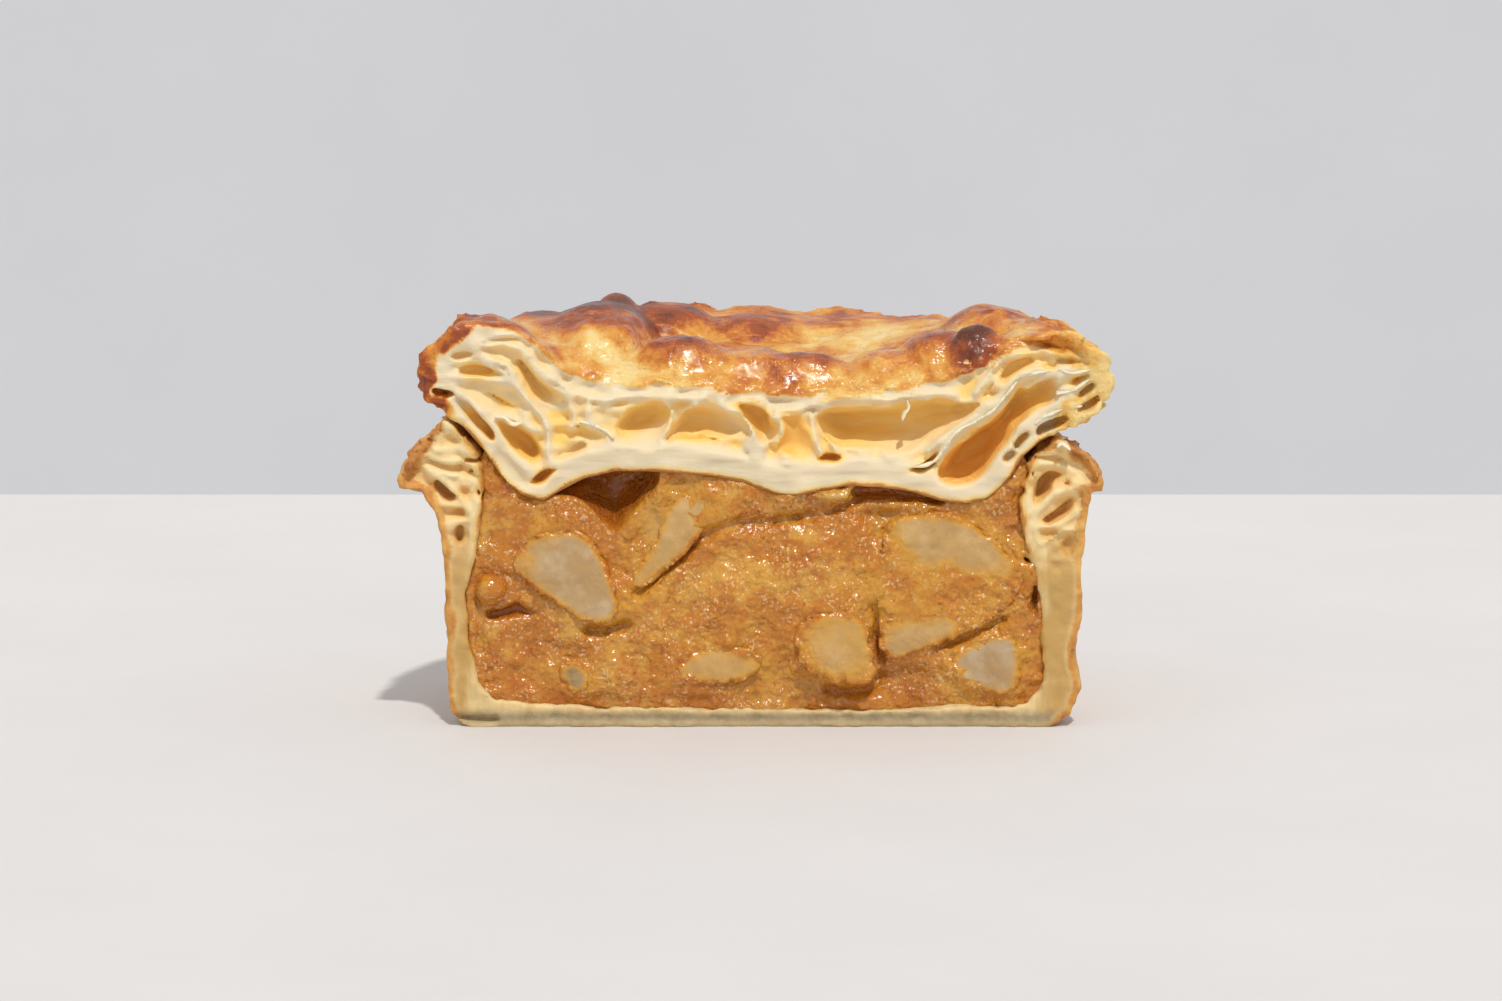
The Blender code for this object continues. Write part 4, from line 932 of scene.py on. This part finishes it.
chunkLook = {
    "step": 0.4, "margin": 1.2, "straightFor": 1.6, "frontBlend": 0.7, "backBlend": 1.4,
    "bareBand": (0.5, 1.4), "edgeBand": (0.15, 1.3), "bareBack": (1.0, 2.4), "oil": 0.8,
    "waves": {  # size of the unevenness in mm, what is added to the seed, how strong
        "bend": (3.4, 0, 0.28), "fineBend": (1.1, 1, 0.1), "torn": ((3.0, 9.0, 3.0), 2, 0.16),
        "fineTorn": ((1.2, 9.0, 1.2), 3, 0.1), "grains": ((1.0, 6.0, 1.0), 4, 0.5)},
    # outline at the cut, front, back, share of its size kept at the back, bare patches as
    # (x, z, half sizes, tilt), how yellow its flesh is
    "chunks": {
        "potato_left": (
            [(-39.6, 25.6), (-34.0, 30.9), (-26.5, 31.4), (-22.4, 24.2), (-21.0, 17.4), (-25.8, 15.9),
             (-32.0, 20.2)], -0.2, 13, 0.62, [(-27.6, 22.8, 11.5, 8.5, -34)], 0.15),
        "potato_upper": (
            [(-13.2, 36.2), (-9.6, 36.8), (-6.0, 35.0), (-9.2, 29.3), (-15.0, 23.6), (-19.4, 21.2),
             (-20.2, 22.9), (-16.4, 27.6)], 0.7, 13, 0.70, [(-12.2, 31.4, 12.0, 6.0, 52)], 0.65),
        "potato_right": (
            [(20.0, 31.8), (22.8, 33.4), (26.4, 33.9), (31.0, 33.4), (35.8, 30.8), (39.7, 26.9),
             (42.9, 24.0), (39.0, 17.8), (28.2, 13.1), (23.4, 10.8), (19.9, 10.6), (19.0, 17.0),
             (18.9, 25.0)], 0.0, 14, 0.60, [(30.2, 29.4, 9.5, 4.2, -14), (24.6, 13.6, 6.5, 3.0, 20)], 0.6),
        "potato_right_low": (
            [(29.0, 10.6), (38.4, 15.6), (41.2, 13.2), (41.1, 5.9), (38.2, 4.9), (33.6, 6.2)],
            0.1, 11, 0.62, [(37.0, 11.0, 7.2, 7.4, 0)], 0.0),
        "potato_front": (
            [(5.8, 15.4), (9.4, 18.3), (14.8, 18.9), (17.3, 16.2), (18.9, 9.0), (17.2, 6.7), (12.8, 6.6),
             (6.4, 9.6)], -1.0, 9, 0.66, [(13.4, 12.8, 5.6, 4.8, -20)], 1.5),
        "potato_low": (
            [(-13.6, 8.4), (-8.8, 12.8), (-2.2, 12.9), (1.8, 10.2), (-0.6, 7.6), (-6.0, 6.6),
             (-11.2, 6.9)], 0.3, 10, 0.66, [(-6.6, 9.4, 6.4, 2.5, 0)], 0.9),
        "potato_back": (
            [(-20.6, 32.2), (-18.4, 34.4), (-15.8, 33.8), (-15.6, 31.2), (-18.6, 30.2)],
            3.4, 9, 0.70, [(-18.0, 32.6, 2.6, 1.8, 0)], 0.4),
        "onion": (
            [(-31.2, 9.2), (-28.4, 10.7), (-25.8, 8.7), (-26.3, 5.8), (-29.0, 4.9)], 0.3, 5, 0.70,
            [(-28.4, 7.8, 4.2, 3.8, 0)], 0.5),
    },
}
peaLook = {
    "place": (-41.4, 1.6, 21.6), "radius": 2.6, "margin": 1.0, "step": 0.3, "shadow": 0.15, "oil": 0.3,
    "waves": {"bend": (1.6, 71, 0.16), "fineBend": (0.8, 72, 0.07)},
}


def chunkField(block, outline, front, back, kept):  # distance to a chunk that narrows towards its back
    look, straight = chunkLook, chunkLook["straightFor"]
    u, v = np.meshgrid(block.xs, block.zs, indexing="ij")
    cu, cv = (sum(p[i] for p in outline) / len(outline) for i in (0, 1))
    soft = rounded(outline, 1)
    values = np.empty((len(block.xs), len(block.ys), len(block.zs)), np.float32)
    for j, y in enumerate(block.ys):
        share = 1 + (kept - 1) * float(np.clip((y - front - straight) / (back - front - straight), 0, 1.2))
        values[:, j, :] = outlineDistance(cu + (u - cu) / share, cv + (v - cv) / share, soft) * share
    return softMax(softMax(values, front - block.y, look["frontBlend"]), block.y - back, look["backBlend"])


def blot(block, x, z, spreadX, spreadZ):  # 1 at a place on the cut, falling to 0 round it
    return np.exp(-(((block.x - x) / spreadX) ** 2) - ((block.z - z) / spreadZ) ** 2)


def blots(block, entries):
    total = np.zeros((len(block.xs), len(block.ys), len(block.zs)), np.float32)
    for *place, amount in entries:
        total = np.maximum(total, amount * blot(block, *place))
    return total


def sauceOutline(side, under):  # half-section between the case and the lid, let a little into both
    over, first = sauceLook["overlap"], caseProfile["insideFrom"]
    wall = [(r + over, max(z - over, sauceLook["lowest"])) for r, z in caseProfile[side][first:][::-1]]
    lid = [(r, z + over) for r, z in lidProfile[under][lidProfile["meeting"] - 1:]]
    return besideAxis(wall + lid)


def makeSauce():
    look = sauceLook
    block = Block(*look["block"])
    wave = block.waves(look)
    body = block.turned(sauceOutline("right", "rightUnder"), sauceOutline("left", "leftUnder"))
    torn = wave["tear"] + wave["fineTear"] + np.abs(wave["lumps"]) - 0.1
    torn = torn + np.abs(wave["grains"]) + wave["fineGrains"] - 0.12
    u, v = np.meshgrid(block.xs, block.zs, indexing="ij")
    around = np.full(u.shape, 9.0)  # distance to the nearest edge of a chunk
    for chunk in chunkLook["chunks"].values():
        around = np.minimum(around, np.abs(outlineDistance(u, v, chunk[0])))
    climb = look["climb"] * np.clip(wave["climb"] + 0.55, 0, 1)
    face = look["sunk"] * (1.0 + torn) - climb * np.exp(-(around / look["climbWidth"]) ** 2)[:, None, :]
    for *place, forward in look["swells"]:
        face = face - forward * blot(block, *place)
    face = np.maximum(face, -look["furthestOut"]) + trenches(block, look["creases"])
    solid = softMax(body, face - block.y, look["faceBlend"])
    # painted shade: darker in the listed spots, where the face is sunk in, and inside the hollows
    shadow = blots(block, look["paintedShade"])
    shadow = np.maximum(shadow, look["sunkShade"] * ease(face, *look["sunkBand"]) + 0.5 * shadow)
    for outline, depth in look["hollows"]:
        hollow = block.bowl(outline, depth)[0] + wave["hollow"]
        solid = softMax(solid, -hollow, look["hollowBlend"])
        shadow = np.maximum(shadow, ease(block.y, *look["hollowBand"]) * ease(-hollow, -1.4, 0.2))
    oil = np.exp(-(around / look["oilWidth"]) ** 2)[:, None, :]
    return block.skin("curry_sauce", solid, {
        "shadow": shadow, "oil": oil, "bare": blots(block, look["smears"]),
        "golden": np.array(look["golden"]), "smooth": np.array(0.0)})


def makeChunk(name, outline, front, back, kept, bare, golden):
    look, (xs, zs) = chunkLook, zip(*outline)
    margin = look["margin"]
    block = Block((min(xs) - margin, front - margin, min(zs) - margin),
                  (max(xs) + margin, back + margin, max(zs) + margin), look["step"])
    wave = block.waves(look, sum(ord(letter) for letter in name))
    solid = chunkField(block, outline, front, back, kept)
    solid = solid + wave["bend"] + wave["fineBend"]
    torn = wave["torn"] + wave["fineTorn"]
    clear = np.zeros(solid.shape, np.float32)  # 1 where no sauce lies on it
    for x, z, halfX, halfZ, tilt in bare:
        c, s = math.cos(math.radians(tilt)), math.sin(math.radians(tilt))
        u, v = (block.x - x) * c + (block.z - z) * s, (block.z - z) * c - (block.x - x) * s
        away = np.sqrt((u / halfX) ** 2 + (v / halfZ) ** 2)
        clear = np.maximum(clear, 1 - ease(away + torn, *look["bareBand"]))
    u, v = np.meshgrid(block.xs, block.zs, indexing="ij")
    clear = clear * ease(-outlineDistance(u, v, rounded(outline, 1)), *look["edgeBand"])[:, None, :]
    clear = clear * (1 - ease(block.y, *(front + past for past in look["bareBack"])))
    lumps = (np.abs(wave["grains"]) - 0.2) * (1 - clear)
    return block.skin(name + "_piece", solid + lumps, {
        "bare": clear, "shadow": np.array(0.0), "oil": np.array(look["oil"]), "golden": np.array(golden),
        "smooth": np.array(1.0)})


def makePea():
    look, (x, y, z) = peaLook, peaLook["place"]
    reach = look["radius"] + look["margin"]
    block = Block((x - reach, y - reach, z - reach), (x + reach, y + reach, z + reach), look["step"])
    wave = block.waves(look)
    solid = np.sqrt((block.x - x) ** 2 + (block.y - y) ** 2 + (block.z - z) ** 2) - look["radius"]
    solid = solid + wave["bend"] + wave["fineBend"]
    return block.skin("pea_piece", solid.astype(np.float32), {
        "bare": np.array(0.0), "shadow": np.array(look["shadow"]), "oil": np.array(look["oil"]),
        "golden": np.array(0.0), "smooth": np.array(1.0)})


# pastry materials: crumb inside, browned skin outside, stained where they meet the sauce

lidPaint = {
    "pale": (0.80, 0.665, 0.43), "soaked": (0.86, 0.58, 0.19), "stain": (0.44, 0.16, 0.02),
    "streaks": (0.16, 0.5, 1.0),  # below 1 draws the streaks out along that axis
    "cell": [  # how deep in a cell, colour
        (0.0, (0.78, 0.66, 0.45)), (0.3, (0.87, 0.66, 0.34)), (0.6, (0.94, 0.62, 0.18)),
        (0.85, (0.88, 0.49, 0.11)), (1.0, (0.70, 0.34, 0.07))],
    "skin": [  # how browned, colour
        (0.0, (0.82, 0.60, 0.24)), (0.18, (0.78, 0.47, 0.12)), (0.34, (0.70, 0.31, 0.045)),
        (0.50, (0.55, 0.165, 0.018)), (0.66, (0.34, 0.070, 0.010)), (1.0, (0.12, 0.028, 0.010))],
    "rough": 0.62, "glossier": 0.46, "coat": 0.35, "coatRough": 0.2,
}
casePaint = {
    "pale": (0.88, 0.73, 0.44), "soaked": (0.78, 0.48, 0.13), "stain": (0.50, 0.20, 0.03),
    "streaks": (0.7, 0.7, 0.7),
    "dense": (0.52, 0.29, 0.065), "denseLight": (0.76, 0.57, 0.27), "base": (0.21, 0.15, 0.08),
    "cell": [
        (0.0, (0.84, 0.66, 0.36)), (0.3, (0.84, 0.60, 0.27)), (0.6, (0.82, 0.50, 0.17)),
        (0.85, (0.68, 0.36, 0.09)), (1.0, (0.50, 0.23, 0.05))],
    "skin": [
        (0.0, (0.76, 0.50, 0.17)), (0.25, (0.70, 0.39, 0.105)), (0.5, (0.60, 0.27, 0.06)),
        (0.75, (0.36, 0.13, 0.03)), (1.0, (0.14, 0.05, 0.015))],
    "rough": 0.62,
}
doughBody = {  # what both pastries share under their colour
    "Specular_IOR_Level": 0.4, "Subsurface_Weight": 0.35, "Subsurface_Radius": (1.0, 0.55, 0.25),
    "Subsurface_Scale": 0.002,
}


def doughColour(sheet, paint, crust, mottle, fine, streaks):
    brown, deep, stain = (sheet.painted(key) for key in ("brown", "deep", "stain"))
    shade = brown * sheet.ramp(crust, 0.2, 0.95, 0.1, 1.0) + (mottle - 0.5) * 0.6
    shade = shade + (sheet.grain(6.0, 3.0, 0.6) - 0.5) * 0.45 + (fine - 0.5) * 0.22
    # the crumb goes golden deeper in the cells: partly its own colour, partly painted shade
    crumb = sheet.tones(deep * (0.85 + mottle * 0.3), paint["cell"])
    paler = sheet.ramp(streaks, 0.42, 0.66) * sheet.ramp(deep, 0.0, 0.3, 0.6, 0.0)
    crumb = sheet.mix(crumb, paint["pale"], paler)
    browned = sheet.ramp(crust + (fine - 0.5) * 0.35, 0.12, 0.72)
    colour = sheet.mix(crumb, sheet.tones(shade, paint["skin"]), browned)
    soaked = stain + (mottle - 0.5) * 0.35 + (fine - 0.5) * 0.2
    colour = sheet.mix(colour, paint["soaked"], sheet.ramp(soaked, 0.12, 0.6) * 0.85)
    return sheet.mix(colour, paint["stain"], sheet.ramp(soaked, 0.6, 0.95) * 0.9)


def doughRelief(sheet, crust, streaks, pitted):
    lumps = sheet.bump(sheet.grain(2.0), 1.2, crust * 0.5 + 0.04)
    pits = sheet.bump(sheet.grain(0.75), 0.55, pitted, lumps)
    return sheet.bump(streaks, 0.35, 0.5 - crust * 0.4, pits)


def doughGrains(sheet, paint):  # the crust's mask, and the noises that both pastries use
    return (sheet.painted("crust"), sheet.grain(2.4, 4.0, 0.6), sheet.grain(0.55, 3.0, 0.6),
            sheet.grain(1.0, 3.0, 0.55, paint["streaks"]))


def glazedPastry(name, paint):  # the lid, glossy in patches
    sheet = Sheet(name)
    crust, mottle, fine, streaks = doughGrains(sheet, paint)
    patches = sheet.ramp(sheet.grain(3.4, 3.0, 0.6), 0.36, 0.56)
    glossy = crust * (0.35 + patches * 0.65) * (1 - sheet.painted("dull") * 0.85)
    wet = crust * sheet.ramp(sheet.grain(4.6), 0.5, 0.62)
    return sheet.surface(
        Base_Color=doughColour(sheet, paint, crust, mottle, fine, streaks),
        Roughness=paint["rough"] - glossy * paint["glossier"] + (fine - 0.5) * 0.1,
        Normal=doughRelief(sheet, crust, streaks, crust * 0.2 + wet * 0.7),
        Coat_Weight=glossy * paint["coat"], Coat_Roughness=paint["coatRough"], **doughBody)


def densePastry(name, paint):  # the case, damp and dense in its lower wall and base
    sheet = Sheet(name)
    crust, mottle, fine, streaks = doughGrains(sheet, paint)
    height, cloud = sheet.painted("height"), sheet.grain(1.7, 3.0, 0.55, (1.0, 1.0, 0.22))
    colour = doughColour(sheet, paint, crust, mottle, fine, streaks)
    lower = sheet.ramp(height + (mottle - 0.5) * 0.1, 0.55, 0.75, 0.85, 0.0) * (1 - crust)
    damp = sheet.ramp(cloud * 0.8 + sheet.painted("outside") * 0.8, 0.25, 0.85)
    colour = sheet.mix(colour, sheet.mix(paint["denseLight"], paint["dense"], damp), lower)
    base = sheet.ramp(height + (streaks - 0.5) * 0.02, 0.03, 0.075, 1.0, 0.0) * (1 - crust)
    colour = sheet.mix(colour, sheet.mix(paint["base"], paint["pale"], streaks * 0.4), base * 0.95)
    return sheet.surface(
        Base_Color=colour, Roughness=paint["rough"] + (fine - 0.5) * 0.1,
        Normal=doughRelief(sheet, crust, streaks, crust * 0.2), **doughBody)


leafPaint = {"front": (0.92, 0.80, 0.56), "back": (0.92, 0.68, 0.32), "rough": 0.5}


def membrane(name, paint):  # the torn leaves, more golden further in
    sheet = Sheet(name)
    inward = sheet.painted("inward") + sheet.grain(1.8, 3.0, 0.6)
    return sheet.surface(
        Base_Color=sheet.mix(paint["front"], paint["back"], sheet.ramp(inward, 0.8, 3.2) * 0.9),
        Roughness=paint["rough"], Subsurface_Weight=0.45, Subsurface_Radius=(1.0, 0.7, 0.4),
        Subsurface_Scale=0.0015, Normal=sheet.bump(sheet.grain(0.6, 4.0, 0.65), 0.3, 0.6))


saucePaint = {
    "body": (0.54, 0.195, 0.015), "light": (0.66, 0.33, 0.05), "red": (0.45, 0.115, 0.007),
    "oil": (0.60, 0.27, 0.018), "film": (0.62, 0.32, 0.045), "dark": (0.27, 0.055, 0.003),
    # glint is the colour of painted highlights
    "fleck": (0.74, 0.42, 0.12), "paintedGlint": (0.95, 0.73, 0.43), "speck": (0.45, 0.08, 0.015),
    "grey": (0.41, 0.285, 0.155), "yellow": (0.55, 0.325, 0.09), "white": (0.78, 0.66, 0.47),
    "onion": (0.19, 0.145, 0.07),
    "rough": 0.25, "wetter": 0.1, "drier": 0.12,
}
sauceBody = {  # what all that lies in the sauce shares under its colour
    "Specular_IOR_Level": 0.5, "Subsurface_Weight": 0.2, "Subsurface_Radius": (1.0, 0.45, 0.15),
    "Subsurface_Scale": 0.0015,
}


def sauceColour(sheet, paint, broad, medium, fine):
    colour = sheet.mix(paint["body"], paint["light"], sheet.ramp(broad + (medium - 0.5) * 0.8, 0.42, 0.66))
    colour = sheet.mix(colour, paint["red"], sheet.ramp(sheet.grain(3.6, 3.0, 0.55), 0.48, 0.66) * 0.6)
    colour = sheet.mix(colour, paint["oil"], sheet.painted("oil") * sheet.ramp(broad, 0.35, 0.6) * 0.75)
    colour = sheet.mix(colour, paint["fleck"], sheet.ramp(fine, 0.52, 0.72) * 0.4)
    colour = sheet.mix(colour, paint["red"], sheet.ramp(fine, 0.46, 0.3) * 0.45)
    # painted highlights: small pale glints mixed into the sauce's colour in patches
    paintedGlints = sheet.ramp(sheet.grain(0.5, 1.0, 0.4), 0.56, 0.7) * sheet.ramp(sheet.grain(6.0), 0.42, 0.58)
    colour = sheet.mix(colour, paint["paintedGlint"], paintedGlints * 0.48)
    colour = sheet.mix(colour, paint["speck"], sheet.ramp(sheet.grain(0.8, 1.0), 0.68, 0.76) * 0.7)
    # the painted shade, mixed in as a dark colour
    return sheet.mix(colour, paint["dark"], sheet.painted("shadow") * 0.85)


def fleshColour(sheet, paint, flesh, fleshWarm, broad, medium, fine):
    warm = sheet.ramp(broad + (medium - 0.5) * 0.5, 0.3, 0.62, 0.35, 1.5)
    inner = sheet.mix(flesh, fleshWarm, sheet.painted("golden") * warm)
    inner = sheet.mix(inner, paint["white"], sheet.ramp(broad * 0.5 + medium * 0.5, 0.4, 0.7) * 0.42)
    return sheet.mix(inner, paint["film"], sheet.ramp(fine, 0.5, 0.8) * 0.25)


def filling(name, flesh, fleshWarm):  # sauce, and whatever lies bare in it
    sheet, paint = Sheet(name), saucePaint
    broad, medium, fine = sheet.grain(7.0, 3.0), sheet.grain(2.2, 4.0, 0.6), sheet.grain(0.6, 3.0, 0.65)
    spread = sheet.painted("bare") + (broad - 0.5) * 0.7 + (medium - 0.5) * 0.6 + (fine - 0.5) * 0.35
    covered = sheet.painted("golden") * sheet.ramp(medium, 0.4, 0.6, 0.05, 0.4)
    clear = sheet.ramp(spread, 0.2, 1.2) * (0.94 - covered)
    colour = sauceColour(sheet, paint, broad, medium, fine)
    colour = sheet.mix(colour, paint["film"], sheet.ramp(spread, 0.02, 0.5) * 0.85)
    colour = sheet.mix(colour, fleshColour(sheet, paint, flesh, fleshWarm, broad, medium, fine), clear)
    lumps = sheet.bump(sheet.grain(2.4, 1.0, 0.4), 1.0, 0.5 - clear * 0.4)
    sparkling = sheet.ramp(sheet.grain(5.0, 3.0, 0.6), 0.42, 0.6, 0.28, 0.72)
    sparkling = sparkling * (1 - sheet.painted("smooth") * 0.5) * (1 - clear * 0.75)
    rough = paint["rough"] - sheet.ramp(medium, 0.45, 0.6) * paint["wetter"] + clear * paint["drier"]
    return sheet.surface(
        Base_Color=colour, Roughness=rough,
        Normal=sheet.bump(sheet.grain(0.7, 1.0, 0.3), 0.8, sparkling, lumps), **sauceBody)


flesh = saucePaint["grey"], saucePaint["yellow"]
lidPastry, casePastry = glazedPastry("lid_pastry", lidPaint), densePastry("case_pastry", casePaint)
sauceMaterial, potatoMaterial = filling("sauce", *flesh), filling("sauced_potato", *flesh)
onionMaterial = filling("sauced_onion", saucePaint["onion"], saucePaint["onion"])

settle(makeLid(), lidPastry, "pastry_lid", "pastry_lid")
settle(makeLeaves(), membrane("dough_membrane", leafPaint), "pastry_lid")
settle(makeCase(), casePastry, "pastry_case", "pastry_case")
settle(makeSauce(), sauceMaterial, "filling", "filling")
for chunkName, chunk in chunkLook["chunks"].items():
    kind, material = ("onion", onionMaterial) if chunkName == "onion" else ("potato", potatoMaterial)
    settle(makeChunk(chunkName, *chunk), material, kind, chunkName)
settle(makePea(), filling("sauced_pea", *flesh), "pea", "pea")


# floor, wall, lights and camera

stageLook = {
    "floor": (0.70, 0.68, 0.67), "wall": (0.69, 0.682, 0.695), "floorCloud": 60.0, "wallCloud": 260.0,
    "tableHalf": 3.0, "tableBack": 0.237, "wallAway": 2.2, "wallHalf": 6.0, "wallFrom": -3.0,
    "wallTo": 5.0,
    "sun": 2.05, "sunFrom": (6.0, -25.0, 42.0), "sunSpread": 2.5, "sunTint": (1.0, 0.97, 0.92),
    "sky": 0.62, "skyTint": (0.93, 0.96, 1.0, 1),
    "lens": 100.0, "sensor": 36.0, "seesTo": 20.0,
    "cameraAside": -0.0010, "cameraAway": 0.6407, "cameraHigh": 0.1258, "pitch": 8.0,
}


def plaster(name, colour, size):
    sheet = Sheet(name)
    darker, lighter = tuple(c * 0.94 for c in colour), tuple(min(c * 1.05, 1) for c in colour)
    return sheet.surface(
        Base_Color=sheet.mix(darker, lighter, sheet.grain(size, 5.0, 0.6)), Roughness=0.75,
        Normal=sheet.bump(sheet.grain(3.0, 4.0), 0.2, 0.2))


def slab(name, corners, material):
    mesh = bpy.data.meshes.new(name)
    mesh.from_pydata(corners, [], [(0, 1, 2, 3)])
    mesh.materials.append(material)
    piece = placed(name, mesh)


def makeTable(look):
    half, back = look["tableHalf"], look["tableBack"]
    slab("floor", [(-half, -half, 0), (half, -half, 0), (half, back, 0), (-half, back, 0)],
         plaster("floor_plaster", look["floor"], look["floorCloud"]))
    half, low, high, away = look["wallHalf"], look["wallFrom"], look["wallTo"], look["wallAway"]
    slab("backdrop", [(-half, away, low), (half, away, low), (half, away, high), (-half, away, high)],
         plaster("wall_plaster", look["wall"], look["wallCloud"]))


def makeLight(look):
    world = bpy.data.worlds.new("studio")
    world.use_nodes = True
    background = world.node_tree.nodes["Background"]
    background.inputs["Color"].default_value = look["skyTint"]
    background.inputs["Strength"].default_value = look["sky"]
    bpy.context.scene.world = world
    lamp = bpy.data.lights.new("key", "SUN")
    lamp.energy, lamp.angle, lamp.color = look["sun"], math.radians(look["sunSpread"]), look["sunTint"]
    x, y, z = look["sunFrom"]
    placed("key", lamp).rotation_euler = (math.atan2(math.hypot(x, y), z), 0, math.atan2(x, -y))


def makeCamera(look):
    lens = bpy.data.cameras.new("camera")
    lens.lens, lens.sensor_width, lens.clip_end = look["lens"], look["sensor"], look["seesTo"]
    camera = placed("camera", lens)
    camera.location = (look["cameraAside"], pieAxis[1] * mm - look["cameraAway"], look["cameraHigh"])
    camera.rotation_euler = (math.radians(90 - look["pitch"]), 0, 0)
    bpy.context.scene.camera = camera
    bpy.context.scene.view_settings.view_transform = "Standard"


for makeIt in (makeTable, makeLight, makeCamera):
    makeIt(stageLook)
print("made the stage, lights and camera")
